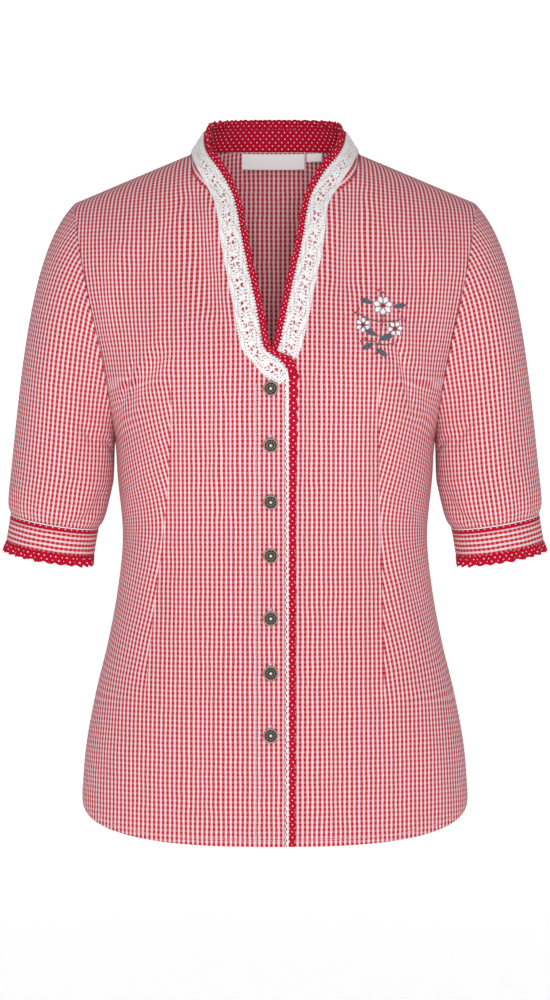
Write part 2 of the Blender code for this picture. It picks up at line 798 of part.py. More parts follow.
def lace_stations(length):
    """Places along the lace where a slot, a bridge or the dense part of a repeat starts."""
    stops = [0.0]
    slots = []
    steps = (
        (LACE_REPEAT - LACE_SLOT_SHORT - LACE_SLOT_LONG - LACE_BRIDGE, False),
        (LACE_SLOT_SHORT, True),
        (LACE_BRIDGE, False),
        (LACE_SLOT_LONG, True),
    )
    while stops[-1] + LACE_REPEAT < length:
        for step, is_slot in steps:
            if is_slot:
                slots.append(len(stops) - 1)
            stops.append(stops[-1] + step)
    if length - stops[-1] > LACE_BRIDGE:
        stops.append(length)
    stops[0] = SEAM_GAP / 2.0
    return stops, slots


def make_lace(collection, side, name):
    edges = lace_path(side)
    stops, slots = lace_stations(band_length(edges))
    shares = (0.0, LACE_SLOT_START, LACE_SLOT_END, 1.0)
    grid = []
    for share in shares:
        line = []
        for stop in stops:
            inner, outer = band_line(edges, stop)
            line.append(mix(inner, outer, share))
        grid.append(line)
    normals = grid_normals(grid, False)
    if side < 0:
        normals = flipped(normals)
    grid = moved(grid, normals, LACE_STAND_OFF + THIN_CLOTH)
    gaps = [(1, column) for column in slots]
    mesh = wall_mesh(name, grid, normals, THIN_CLOTH, gaps=gaps)
    add_piece(collection, name, mesh, "lace")


def wave(column):
    """Side to side share of a gathered edge at a column."""
    return math.sin(2.0 * math.pi * (column + 0.5) / RUFFLE_STEPS)


def neck_ruffle_path():
    """Band edges round the whole neck, from the right front's V bottom to the left front's."""
    right = lace_path(-1)[1:]
    left = lace_path(1)
    return list(reversed(right)) + left[:-1]


def make_neck_ruffle(collection):
    edges = neck_ruffle_path()
    length = band_length(edges)
    count = NECK_RUFFLE_WAVES * RUFFLE_STEPS
    base = []
    free = []
    for column in range(count + 1):
        distance = length * column / count
        inner, outer = band_line(edges, distance)
        ahead, _ = band_line(edges, min(distance + PATH_STEP, length))
        behind, _ = band_line(edges, max(distance - PATH_STEP, 0.0))
        way = (inner - outer).normalized()
        facing = way.cross(ahead - behind).normalized()
        lap = 0.0
        if column < count / 2:
            lap = ease((NECK_RUFFLE_LAP_Z - inner.z) / NECK_RUFFLE_LAP_LENGTH)
        lift = mix(-NECK_RUFFLE_SINK, NECK_RUFFLE_LIFT, lap)
        start = inner + way * NECK_RUFFLE_START + facing * lift
        height = NECK_RUFFLE_WAVE * mix(1.0, NECK_RUFFLE_LAP_WAVE, lap)
        base.append(start)
        free.append(start + way * NECK_RUFFLE_WIDTH + facing * height * wave(column))
    grid = [base, free]
    mesh = wall_mesh("ruffle_neck", grid, grid_normals(grid, False), THIN_CLOTH)
    add_piece(collection, "ruffle_neck", mesh, "pin_dot")


def hem_z(x):
    """Height of the front hem at x."""
    return HEM_SIDE_Z - HEM_DROP * roundness(x / half_width(HEM_SIDE_Z), HEM_POWER)


def make_front_ruffle(collection):
    count = FRONT_RUFFLE_WAVES * RUFFLE_STEPS
    top_z = FRONT_RUFFLE_WIDTHS[-1].z
    end_z = hem_z(FRONT_RUFFLE_X) + SEAM_GAP
    base = []
    free = []
    for column in range(count + 1):
        z = mix(top_z, end_z, column / count)
        width = read(FRONT_RUFFLE_WIDTHS, "z", "width", z)
        base.append(on_front(1, FRONT_RUFFLE_X, z, FRONT_RUFFLE_LIFT))
        lift = FRONT_RUFFLE_LIFT + FRONT_RUFFLE_WAVE * wave(column)
        free.append(on_front(1, FRONT_RUFFLE_X + width, z, lift))
    grid = [base, free]
    mesh = wall_mesh("ruffle_front", grid, grid_normals(grid, False), THIN_CLOTH)
    add_piece(collection, "ruffle_front", mesh, "pin_dot")


def make_picot_trim(collection):
    top_z = FRONT_RUFFLE_WIDTHS[-1].z
    grid = []
    out = TRIM_STAND_OFF + THIN_CLOTH
    for z in even(TRIM_ROWS, hem_z(TRIM_X) + SEAM_GAP, top_z):
        grid.append([on_front(1, x, z, out) for x in (TRIM_X, TRIM_END_X)])
    mesh = wall_mesh("picot_trim", grid, grid_normals(grid, False), THIN_CLOTH)
    add_piece(collection, "picot_trim", mesh, "lace")


def make_buttons(collection):
    profile = bpy.data.meshes.new("button")
    points = [(row.radius * MM, 0.0, row.height * MM) for row in BUTTON_PROFILE]
    profile.from_pydata(points, [(i, i + 1) for i in range(len(points) - 1)], [])
    profile.materials.append(finish_material("pewter"))
    for number, z in enumerate(BUTTON_HEIGHTS, 1):
        button = bpy.data.objects.new(f"button_{number}", profile)
        collection.objects.link(button)
        turn = button.modifiers.new("turned form", "SCREW")
        turn.steps = BUTTON_STEPS
        turn.render_steps = BUTTON_STEPS
        turn.use_merge_vertices = True
        turn.merge_threshold = BUTTON_MERGE
        turn.use_normal_calculate = True
        seat = on_front(-1, BUTTON_X, z, SEAM_GAP)
        above = on_front(-1, BUTTON_X, z + BUTTON_RADIUS, SEAM_GAP)
        below = on_front(-1, BUTTON_X, z - BUTTON_RADIUS, SEAM_GAP)
        outward = (above - below).cross(Vector((-1.0, 0.0, 0.0)))
        button.location = seat * MM
        button.rotation_mode = "QUATERNION"
        button.rotation_quaternion = outward.to_track_quat("Z", "Y")


def cuff_ring(side, down, grow, columns):
    """Ring round the cuff a distance down its axis and a distance outside its band."""
    start = ARM_RINGS[-1]
    slope = math.radians(CUFF_TILT)
    axis = Vector((side * math.sin(slope), 0.0, -math.cos(slope)))
    centre = Vector((side * start.x, start.y, start.z)) + axis * (down + SEAM_GAP)
    ring = []
    for column in range(columns):
        turn = 2.0 * math.pi * column / columns
        out = grow(column) if callable(grow) else grow
        wide = start.half_width + out
        ring.append(ring_point(side, centre, wide, start.half_depth + out, CUFF_TILT, turn))
    return ring


def make_ring_wall(collection, name, side, rings, thickness, finish_name):
    normals = grid_normals(rings, True)
    if side < 0:
        normals = flipped(normals)
    mesh = wall_mesh(name, rings, normals, thickness, closed=True)
    add_piece(collection, name, mesh, finish_name)


def plain_rings(side, places, grow):
    return [cuff_ring(side, place, grow, CUFF_COLUMNS) for place in places]


def make_cuff(collection, side, word):
    piping = plain_rings(side, (0.0, CUFF_PIPING), CUFF_PIPING_PROUD)
    thickness = CLOTH + CUFF_PIPING_PROUD
    make_ring_wall(collection, f"cuff_piping_{word}", side, piping, thickness, "piping")
    binding = plain_rings(side, (CUFF_PIPING + SEAM_GAP, CUFF_BINDING_END), 0.0)
    make_ring_wall(collection, f"cuff_binding_{word}", side, binding, CLOTH, "pin_dot")
    band = plain_rings(side, even(2, CUFF_BINDING_END + SEAM_GAP, CUFF_BAND_END), 0.0)
    make_ring_wall(collection, f"cuff_{word}", side, band, CLOTH, "gingham")
    columns = CUFF_RUFFLE_WAVES * RUFFLE_STEPS

    def wavy(column):
        return CUFF_RUFFLE_FLARE + CUFF_RUFFLE_WAVE * wave(column)

    ruffle = [
        cuff_ring(side, CUFF_BAND_END + SEAM_GAP, 0.0, columns),
        cuff_ring(side, CUFF_RUFFLE_END, wavy, columns),
    ]
    make_ring_wall(collection, f"cuff_ruffle_{word}", side, ruffle, THIN_CLOTH, "pin_dot")


def grid_place(grid, column, row):
    """Point on the flat faces of a grid at part column and row numbers."""
    low_column = min(int(column), len(grid[0]) - 2)
    low_row = min(int(row), len(grid) - 2)
    t = column - low_column
    lower = mix(grid[low_row][low_column], grid[low_row][low_column + 1], t)
    upper = mix(grid[low_row + 1][low_column], grid[low_row + 1][low_column + 1], t)
    return mix(lower, upper, row - low_row)


def make_label(collection, body, name, columns, drop):
    """Woven label hanging inside the back from the neck seam."""
    back = body["back"]["grid"]
    centre = (len(back[0]) - 1) / 2.0
    rows = (BODY_ROWS - drop, BODY_ROWS - LABEL_TOP)
    grid = grid_of(lambda c, r: grid_place(back, centre + c, r), columns, rows)
    normals = flipped(grid_normals(grid, False))
    grid = moved(grid, normals, -CLOTH - LABEL_STAND_OFF)
    add_piece(collection, name, wall_mesh(name, grid, normals, THIN_CLOTH), "label")


def build():
    for piece in list(bpy.data.objects):
        bpy.data.objects.remove(piece, do_unlink=True)
    collection = bpy.data.collections.new("dirndl_blouse")
    bpy.context.scene.collection.children.link(collection)
    body = body_grids()
    make_body(collection, body)
    make_collar(collection)
    make_lace(collection, -1, "lace_right")
    make_lace(collection, 1, "lace_left")
    make_neck_ruffle(collection)
    make_front_ruffle(collection)
    make_picot_trim(collection)
    make_buttons(collection)
    make_cuff(collection, -1, "right")
    make_cuff(collection, 1, "left")
    make_label(collection, body, "neck_label", LABEL_COLUMNS, LABEL_DROP)
    make_label(collection, body, "size_label", SIZE_LABEL_COLUMNS, SIZE_LABEL_DROP)


build()
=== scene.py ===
"""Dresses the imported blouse: cloth, lace, ruffles, buttons, stitching and a plain studio.

+X is the wearer's left, -Y the front and +Z up, with the origin in the middle of the neck opening.
Tables and shapes are in millimetres and are scaled to metres when a mesh is made.
"""
import math
from collections import namedtuple

import bpy
import numpy as np
from bpy.props import FloatProperty, FloatVectorProperty, IntProperty, PointerProperty
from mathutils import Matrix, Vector


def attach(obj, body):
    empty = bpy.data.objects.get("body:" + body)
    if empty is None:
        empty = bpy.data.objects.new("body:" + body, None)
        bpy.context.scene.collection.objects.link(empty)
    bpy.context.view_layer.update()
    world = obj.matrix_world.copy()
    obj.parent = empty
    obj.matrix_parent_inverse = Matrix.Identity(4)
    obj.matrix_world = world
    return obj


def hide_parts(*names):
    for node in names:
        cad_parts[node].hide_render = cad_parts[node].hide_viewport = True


bl_info = {
    "name": "Dirndl blouse",
    "version": (1, 0, 0),
    "blender": (4, 5, 0),
    "location": "3D View > Sidebar > Blouse",
    "description": "Dresses the packed blouse with gingham, lace, ruffles, buttons and stitching",
    "category": "Add Mesh",
}

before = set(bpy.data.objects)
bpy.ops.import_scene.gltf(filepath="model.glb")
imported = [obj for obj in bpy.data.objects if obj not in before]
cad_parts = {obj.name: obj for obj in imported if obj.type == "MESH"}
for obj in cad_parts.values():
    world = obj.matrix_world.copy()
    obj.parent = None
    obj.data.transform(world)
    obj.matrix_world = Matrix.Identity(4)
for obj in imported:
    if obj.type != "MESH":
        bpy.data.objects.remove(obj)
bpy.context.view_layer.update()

MM = 0.001
SIDES = ((-1, "right"), (1, "left"))

# Walls and gaps of the solids, the thickness of the cloth that shows, and the least flat cut worked out
CLOTH = 1.2
SEAM_GAP = 0.3
STAND_SEAM_GAP = 0.45
LACE_STAND_OFF = 0.35
FRONT_OVERLAP_LIFT = 2.0
SHOWN_CLOTH = 0.6
SHOWN_THIN_CLOTH = 0.4
TRIM_CLOTH = 0.5
NARROWEST_CUT = 0.01
LEAST_CUT_SHARE = 0.31

# Body
SECTION_POWER = 2.35
HEM_POWER = 2.8
HEM_SIDE_Z = -590.0
HEM_DROP = 42.6
HEM_FALL_POWER = 1.5
UNDERARM_Z = -266.0
NECK_X = 79.0
SHOULDER_X = 186.0
SHOULDER_DROP = 45.0
SHOULDER_ROLL = 80.0
BACK_NECK_Z = 9.0
BACK_NECK_RISE = 0.9
NECK_BLEND_ROWS = 4.0
NECK_BLEND_HEIGHT = 106.0
NECK_BLEND_SPREAD = 0.075
ROWS_BELOW_ARM = 15
ARMHOLE_BLEND_POWER = 4
BACK_NECK_COLUMNS = 5
FRONT_CREASE_FADE = 8.0
BACK_CREASE_FADE = 10.0
BUST_X = 85.0
BUST_Z = -196.0
BUST_SPREAD_X = 52.0
BUST_SPREAD_Z = 58.0
BUST_FULLNESS = 12.0
PLACKET_RAMP_START = -33.0
PLACKET_RAMP_END = -14.0

# Body sections: height, half width, and depth in front of and behind the side seams
Level = namedtuple("Level", "z half_width front back")
LEVELS = [
    Level(-645, 179.5, 102, 117),
    Level(-600, 179.0, 103, 117),
    Level(-550, 175.5, 103, 114),
    Level(-500, 166.5, 101, 106),
    Level(-450, 154.5, 97, 93),
    Level(-400, 145.5, 93, 80),
    Level(-353, 141.3, 93, 74),
    Level(-300, 146.0, 101, 81),
    Level(-266, 148.5, 108, 89),
    Level(-240, 155.0, 112, 95),
    Level(-195, 170.0, 114, 102),
    Level(-155, 183.0, 108, 104),
    Level(-120, 193.0, 99, 101),
    Level(-90, 199.0, 89, 95),
    Level(-50, 204.0, 76, 84),
    Level(0, 206.0, 62, 70),
    Level(30, 206.0, 55, 64),
]

# Armhole from underarm to shoulder tip, and the height where each row of cloth meets the front edge
ArmRow = namedtuple("ArmRow", "x z front_y back_y edge_z")
ARM_ROWS = [
    ArmRow(148.5, -266, 0, 0, -266),
    ArmRow(149.3, -254, -22, 24, -234),
    ArmRow(151.5, -233, -38, 43, -202),
    ArmRow(155.5, -206, -48, 55, -182),
    ArmRow(160.8, -178, -55, 61, -150),
    ArmRow(167.0, -150, -57, 64, -118),
    ArmRow(173.0, -122, -55, 61, -86),
    ArmRow(178.0, -96, -48, 53, -50),
    ArmRow(182.0, -73, -36, 40, -38),
    ArmRow(185.0, -54, -18, 20, -22),
    ArmRow(186.0, -45, 0, 0, 0),
]
ARM_STEPS = len(ARM_ROWS) - 1
BODY_ROWS = ROWS_BELOW_ARM + ARM_STEPS

# Front edge and neckline of the two fronts: the right one laps over the left one
EdgeRow = namedtuple("EdgeRow", "z right_x left_x")
FRONT_EDGE = [
    EdgeRow(-645, 8.9, -11.5),
    EdgeRow(-234, 8.9, -11.5),
    EdgeRow(-202, 8.9, -8.0),
    EdgeRow(-182, -11.0, 4.2),
    EdgeRow(-150, -16.4, 10.8),
    EdgeRow(-118, -23.2, 17.6),
    EdgeRow(-86, -29.8, 24.8),
    EdgeRow(-50, -37.0, 31.5),
    EdgeRow(-38, -61.5, 59.0),
    EdgeRow(-22, -75.5, 74.5),
    EdgeRow(0, -79.0, 79.0),
]

# Back neck seam and the top of the stand collar above it, from centre back to the neck point
FACING_END = 2
StandRow = namedtuple("StandRow", "x y z top_x top_y top_z")
STAND_BACK = [
    StandRow(0, 66, 9, 0, 61, 31),
    StandRow(24.4, 63.5, 8.8, 22, 58.7, 30.7),
    StandRow(46.4, 54.5, 7.8, 41.5, 50, 29.5),
    StandRow(63.9, 40.5, 6, 56, 36, 27.5),
    StandRow(75.1, 22, 3.2, 64, 18, 24),
    StandRow(79, 0, 0, 66, -2, 19),
]
StandFrontRow = namedtuple("StandFrontRow", "seam_z right_x left_x y z")
STAND_FRONT = [
    StandFrontRow(-22, -63.0, 60.0, -34, -1),
    StandFrontRow(-38, -49.0, 44.0, -53, -22.5),
    StandFrontRow(-50, -37.3, 31.8, None, -45.5),
]

# Lace band from the neck point down the V: inner edge along the neck, outer edge on stand or front
LaceRow = namedtuple("LaceRow", "x y z out_x out_y out_z")
LACE_RIGHT = [
    LaceRow(-63.0, -34, -1, -71.5, -43.6, -17),
    LaceRow(-49.0, -53, -22.5, -61.5, None, -36.5),
    LaceRow(-37.3, None, -47, -54.5, None, -53.5),
    LaceRow(-29.8, None, -86, -49.0, None, -90.5),
    LaceRow(-23.2, None, -118, -42.8, None, -123),
    LaceRow(-16.4, None, -150, -36.3, None, -156),
    LaceRow(-11.5, None, -178, -31.0, None, -184),
    LaceRow(-9.0, None, -186, -25.5, None, -192.5),
    LaceRow(-2.0, None, -191.5, -19.0, None, -199.5),
    LaceRow(4.4, None, -195.5, -13.6, None, -206.2),
    LaceRow(8.9, None, -200.2, -8.6, None, -211),
    LaceRow(11.4, None, -205.2, -2.6, None, -213.9),
    LaceRow(12.4, None, -210.6, 4.0, None, -217.6),
]
LACE_LEFT = [
    LaceRow(60.0, -34, -1, 69.0, -43.0, -17),
    LaceRow(44.0, -53, -22.5, 57.5, None, -36.5),
    LaceRow(31.8, None, -47, 48.5, None, -53.5),
    LaceRow(24.8, None, -86, 44.0, None, -90.5),
    LaceRow(17.6, None, -118, 37.4, None, -123),
    LaceRow(10.8, None, -150, 30.8, None, -156),
    LaceRow(4.8, None, -178, 24.5, None, -183),
    LaceRow(2.0, None, -188, 19.5, None, -195),
]
LACE_WIDTH = 20.0
LACE_REPEAT = 21.8
LACE_PAIRS = (4.6, 11.2)
LACE_OVAL_LENGTH = 3.9
LACE_OVAL_WIDTH = 2.3
LACE_OVAL_APART = 3.1
LACE_FLOWER = 17.0
LACE_PICOT = 2.6
LACE_PICOT_PITCH = 3.2
LACE_OUTER_PICOT = 1.1
LACE_OUTER_PITCH = 2.8

# Raised cords along the lace: distance from its inner edge and width
LACE_CORDS = ((1.6, 0.6), (4.7, 0.5), (8.2, 0.7), (11.8, 0.7), (15.3, 0.5), (18.4, 0.6))

# Rows of eyelets along the lace: distance from its inner edge, spacing, radius and shift
LACE_EYELETS = [
    (2.0, 2.4, 0.55, 0.0),
    (4.4, 2.4, 0.6, 1.2),
    (6.6, 3.43, 0.75, 0.9),
    (13.4, 3.43, 0.75, 0.9),
    (15.6, 2.4, 0.6, 0.4),
    (18.0, 2.4, 0.5, 1.3),
]

# Soft folds of the solids: a trough or, with a negative depth, a ridge between two points
Fold = namedtuple("Fold", "x z end_x end_z spread depth")
FRONT_FOLDS = [
    Fold(-72, -48, -54, -140, 13, 2.4),
    Fold(-62, -60, -46, -150, 10, -1.4),
    Fold(70, -46, 62, -120, 13, 2.4),
    Fold(-143, -244, -104, -200, 11, 2.6),
    Fold(-146, -225, -112, -178, 12, -1.6),
    Fold(142, -240, 104, -188, 11, 2.6),
    Fold(146, -218, 116, -170, 12, -1.6),
    Fold(-95, -212, -98, -345, 12, 2.2),
    Fold(-98, -345, -117, -500, 12, 1.8),
    Fold(94, -245, 97, -380, 12, 2.2),
    Fold(97, -380, 98, -505, 12, 1.6),
    Fold(-112, -352, -140, -460, 14, -2.0),
    Fold(108, -372, 134, -440, 14, -2.0),
]

# Cloth taken up across a fold, as a multiple of its depth, and how many of the soft folds take it up
FOLD_INTAKE = 1.7
BUNCHED_FOLDS = 7

# Finer creases that only the cloth has
FRONT_CREASES = [
    Fold(-40, -232, -43, -330, 7, 0.9),
    Fold(-52, -215, -60, -300, 9, -0.8),
    Fold(30, -215, 27, -300, 8, 0.7),
    Fold(-130, -352, -150, -398, 6, 1.3),
    Fold(-126, -300, -144, -330, 7, -0.9),
    Fold(-141, -243, -126, -197, 3.2, 1.5),
    Fold(-122, -205, -128, -236, 6, -1.1),
    Fold(110, -190, 124, -240, 3.2, 1.5),
    Fold(128, -250, 143, -236, 5, 1.0),
    Fold(126, -330, 143, -352, 6, 1.0),
    Fold(120, -396, 146, -446, 7, 1.1),
    Fold(-60, -470, -64, -590, 13, 0.9),
    Fold(48, -430, 52, -600, 14, 0.9),
    Fold(-140, -480, -158, -560, 12, 0.9),
    Fold(140, -500, 156, -580, 12, -0.8),
    Fold(-92, -60, -118, -110, 12, 0.9),
    Fold(96, -62, 126, -120, 12, 0.9),
    Fold(-150, -96, -158, -170, 10, -1.0),
    Fold(150, -100, 157, -175, 10, -0.9),
]
BACK_CREASES = [
    Fold(-70, -360, -76, -500, 10, 1.4),
    Fold(70, -360, 74, -510, 10, 1.4),
    Fold(-66, -230, -70, -350, 12, 1.6),
    Fold(66, -220, 70, -350, 12, 1.6),
    Fold(-120, -240, -150, -300, 10, 1.4),
    Fold(124, -236, 150, -290, 10, 1.3),
    Fold(-30, -60, -34, -200, 16, 1.0),
    Fold(40, -70, 46, -180, 16, -1.0),
    Fold(-100, -330, -140, -352, 9, 1.3),
    Fold(96, -344, 140, -360, 9, 1.3),
    Fold(0, -430, 6, -610, 18, 1.0),
]

# Waist darts of the fronts: their line, and how much cloth they take in
DartRow = namedtuple("DartRow", "z right_x left_x intake")
WAIST_DARTS = [
    DartRow(-520, 119.5, 98.0, 0.0),
    DartRow(-497, 117.4, 98.3, 0.5),
    DartRow(-462, 114.2, 98.6, 5.0),
    DartRow(-411, 108.6, 97.5, 17.0),
    DartRow(-374, 104.0, 97.1, 25.0),
    DartRow(-348, 101.7, 96.0, 28.0),
    DartRow(-322, 98.4, 94.8, 25.0),
    DartRow(-290, 96.0, 94.3, 16.0),
    DartRow(-250, 94.2, 93.4, 5.0),
    DartRow(-215, 93.5, 93.2, 0.0),
]
DART_TOP_Z = -225.0
DART_FADE = 60.0
DART_TROUGH = 1.3
DART_TROUGH_SPREAD = 2.6

# Fineness of the cloth meshes
FRONT_MESH_COLUMNS = 80
DART_COLUMN = 36
BODY_MESH_ROWS = 180
BACK_MESH_COLUMNS = 144
SLEEVE_MESH_COLUMNS = 120
SLEEVE_MESH_ROWS = 96
TRIM_MESH_STEP = 0.5

# Flat-cut tables: heights and turns at which the cloth's lengths are measured
GRAIN_Z = -300.0
TABLE_LOW_Z = -645.0
TABLE_HIGH_Z = 40.0
TABLE_STEP = 2.5
TABLE_TURNS = 160

# Sleeve below the armhole: centre, half width, half depth and tilt of each ring
ArmRing = namedtuple("ArmRing", "x y z half_width half_depth tilt")
ARM_RINGS = [
    ArmRing(197.4, -4, -298.0, 47.7, 53.0, 7.0),
    ArmRing(201.3, -6, -322.0, 46.2, 50.0, 8.5),
    ArmRing(203.2, -7, -333.0, 44.4, 46.0, 9.4),
    ArmRing(204.2, -7, -339.2, 41.2, 41.5, 9.4),
]
SLEEVE_CAP_RINGS = 8
ARM_COLUMNS = 2 * ARM_STEPS
ARM_WAY = (0.10, 0.0, -0.995)
SLEEVE_GRAIN = (0.182, 0.0, -0.983)

# How the sleeve cap leaves the armhole
CapWay = namedtuple("CapWay", "outward down reach hang")
CAP_TIP = CapWay(0.70, 0.71, 55.0, 110.0)
CAP_FACE = CapWay(0.93, 0.36, 36.0, 58.0)
CAP_UNDERARM = CapWay(0.12, 0.99, 7.0, 12.0)

# Mean radius of a sleeve and height between its rings, which its creases are measured with
SLEEVE_FOLD_RADIUS = 50.0
SLEEVE_RING_HEIGHT = 26.0

# Creases of the sleeves: turn in degrees and ring of both ends, spread in mm and depth
SleeveFold = namedtuple("SleeveFold", "turn ring end_turn end_ring spread depth")
SLEEVE_FOLDS = [
    SleeveFold(150, 8.6, 118, 10.6, 7, 1.8),
    SleeveFold(128, 5.5, 108, 8.4, 10, 1.6),
    SleeveFold(160, 3.4, 122, 5.4, 9, 1.7),
    SleeveFold(96, 8.2, 88, 10.7, 6, -1.0),
    SleeveFold(60, 8.9, 56, 10.8, 6, 1.0),
    SleeveFold(34, 9.2, 30, 10.8, 6, 0.9),
    SleeveFold(70, 1.6, 66, 5.0, 14, -1.2),
    SleeveFold(-140, 8.4, -112, 10.6, 8, 1.7),
    SleeveFold(-118, 5.4, -100, 8.0, 10, 1.6),
    SleeveFold(-66, 9.0, -60, 10.8, 6, 1.0),
    SleeveFold(-20, 9.3, -22, 10.8, 6, 0.8),
]

# Cuff, measured down its own axis from its top edge
CUFF_TILT = 9.4
CUFF_PIPING = 1.2
CUFF_PIPING_PROUD = 0.3
CUFF_BINDING_END = 4.8
CUFF_BAND_END = 25.4
CUFF_RUFFLE_END = 35.0
CUFF_RUFFLE_FLARE = 0.1
CUFF_MESH_COLUMNS = 132
CUFF_FRONT_DIP = 4.2

# Radius of the bend between floor and backdrop
BACKDROP_BEND = 1500.0

# Ruffles and trims of the neck and front
RUFFLE_STEP = 0.6
RUFFLE_CREASE = 1.3
NECK_RUFFLE_WIDTH = 8.0
NECK_RUFFLE_NARROW = 5.2
NECK_RUFFLE_NARROWING = 45.0
NECK_RUFFLE_WIDENING = -189.0
NECK_RUFFLE_START = 0.9
NECK_RUFFLE_SINK = 0.9
NECK_RUFFLE_LIFT = 2.2
NECK_RUFFLE_LAP_Z = -150.0
NECK_RUFFLE_LAP_LENGTH = 25.0
FRONT_RUFFLE_LIFT = 2.1
FRONT_RUFFLE_X = 12.6
FRONT_RUFFLE_DOT_SHIFT = -0.4
TRIM_X = 10.4
TRIM_END_X = 12.2
TRIM_LIFT = 2.7
TRIM_LOOP = 5.2
TRIM_LOOP_REACH = 1.5
TRIM_HOLE_X = 10.3
TRIM_OPEN_Z = -245.0
WidthRow = namedtuple("WidthRow", "z width")
FRONT_RUFFLE_WIDTHS = [WidthRow(-632, 5.4), WidthRow(-320, 6.4), WidthRow(-204, 8.2)]

# Buttons
BUTTON_X = -3.8
BUTTON_HEIGHTS = (-221.0, -271.6, -322.6, -371.3, -427.8, -476.9, -532.4)
BUTTON_RADIUS = 6.7
ButtonRow = namedtuple("ButtonRow", "radius height milling")
BUTTON_RELIEF = [
    ButtonRow(0.0, 3.4, 0.0),
    ButtonRow(0.8, 3.3, 0.0),
    ButtonRow(1.5, 2.9, 0.0),
    ButtonRow(1.9, 2.1, 0.0),
    ButtonRow(2.2, 1.6, 0.0),
    ButtonRow(2.7, 1.9, 0.22),
    ButtonRow(3.5, 2.15, 0.3),
    ButtonRow(4.3, 1.9, 0.22),
    ButtonRow(4.7, 1.6, 0.0),
    ButtonRow(5.1, 2.1, 0.0),
    ButtonRow(5.6, 2.7, 0.2),
    ButtonRow(6.1, 2.8, 0.28),
    ButtonRow(6.5, 2.4, 0.2),
    ButtonRow(BUTTON_RADIUS, 1.7, 0.0),
    ButtonRow(BUTTON_RADIUS - 0.3, 0.9, 0.0),
    ButtonRow(0.0, 0.3, 0.0),
]
BUTTON_TURNS = 96

# Topstitching: how far up the hem's first row, and the line beside the placket
HEM_STITCH_ROW = 0.24
PLACKET_STITCH_X = -16.5
PLACKET_STITCH_LOW = -632.0
PLACKET_STITCH_HIGH = -216.0
STITCH_GAP = 0.5
STITCH_RADIUS = 0.2
SPRIG_STITCH_RADIUS = 0.3

# Labels inside the back neck: right end, left end and length, drop below the seam, gap and thickness
NECK_LABEL = (-31.5, 28.0, 15.0)
SIZE_TAB = (30.0, 44.0, 8.0)
LABEL_TOP = 1.6
LABEL_STAND_OFF = 1.0
LABEL_THICKNESS = 0.35


def column(table, name):
    return np.array([getattr(row, name) for row in table], float)


def mix(a, b, t):
    return a + (b - a) * t


def unit(ways):
    """The same directions with a length of one."""
    return ways / np.linalg.norm(ways, axis=-1, keepdims=True)


def ease(t):
    t = np.clip(t, 0.0, 1.0)
    return t * t * (3.0 - 2.0 * t)


def curve(keys, values, key):
    """Smooth value at key through points whose keys rise; it is held past both ends."""
    keys = np.asarray(keys, float)
    values = np.asarray(values, float)
    key = np.clip(np.asarray(key, float), keys[0], keys[-1])
    low = np.clip(np.searchsorted(keys, key, side="left") - 1, 0, len(keys) - 2)
    steps = np.arange(len(keys))
    before = np.maximum(steps - 1, 0)
    after = np.minimum(steps + 1, len(keys) - 1)
    width = keys[after] - keys[before]
    span = keys[low + 1] - keys[low]
    t = (key - keys[low]) / span
    if values.ndim == 2:
        width = width[:, None]
        span = span[..., None]
        t = t[..., None]
    slopes = (values[after] - values[before]) / width
    start = t * (1.0 - t) ** 2 * span * slopes[low]
    end = t * t * (t - 1.0) * span * slopes[low + 1]
    return mix(values[low], values[low + 1], t * t * (3.0 - 2.0 * t)) + start + end


def read(table, key_name, value_name, key):
    return curve(column(table, key_name), column(table, value_name), key)


def row_value(table, name, index):
    return curve(np.arange(len(table)), column(table, name), index)


def roundness(share, power):
    """Depth of a superellipse at a share of its half width."""
    share = np.minimum(np.abs(share), 1.0)
    return (1.0 - share ** power) ** (1.0 / power)


def half_width(z):
    return read(LEVELS, "z", "half_width", z)


def shoulder_roll(x, z, neck_rise):
    """Share of the depth that is left near the shoulder line, where the cloth turns to the top."""
    outside = np.abs(x) - NECK_X
    slope = SHOULDER_DROP / (SHOULDER_X - NECK_X)
    ridge = np.where(outside >= 0.0, -outside * slope, -outside * neck_rise)
    below = np.clip((ridge - z) / SHOULDER_ROLL, 0.0, 1.0)
    return np.sqrt(1.0 - (1.0 - below) ** 2)


def from_line(fold, x, z):
    """Distance of a point from the line of a fold."""
    along_x = fold.end_x - fold.x
    along_z = fold.end_z - fold.z
    squared = along_x ** 2 + along_z ** 2
    t = np.clip(((x - fold.x) * along_x + (z - fold.z) * along_z) / squared, 0.0, 1.0)
    return np.hypot(x - fold.x - along_x * t, z - fold.z - along_z * t)


def fold_depth(folds, x, z):
    """How far the troughs and ridges near a point move it inwards."""
    total = np.zeros(np.broadcast(x, z).shape)
    for fold in folds:
        away = from_line(fold, x, z)
        total = total + fold.depth * np.exp(-(away / fold.spread) ** 2)
    return total


def bunched(places, folds, x, z):
    """Moves flat places near folds, so that the cloth taken up in a fold narrows its checks."""
    moved = places.copy()
    for fold in folds:
        away = from_line(fold, x, z)
        size = math.hypot(fold.end_x - fold.x, fold.end_z - fold.z)
        across_x = (fold.z - fold.end_z) / size
        across_z = (fold.end_x - fold.x) / size
        off = (x - fold.x) * across_x + (z - fold.z) * across_z
        taken = FOLD_INTAKE * abs(fold.depth) * off / fold.spread * np.exp(-(away / fold.spread) ** 2)
        moved[..., 0] += taken * across_x
        moved[..., 1] += taken * across_z
    return moved


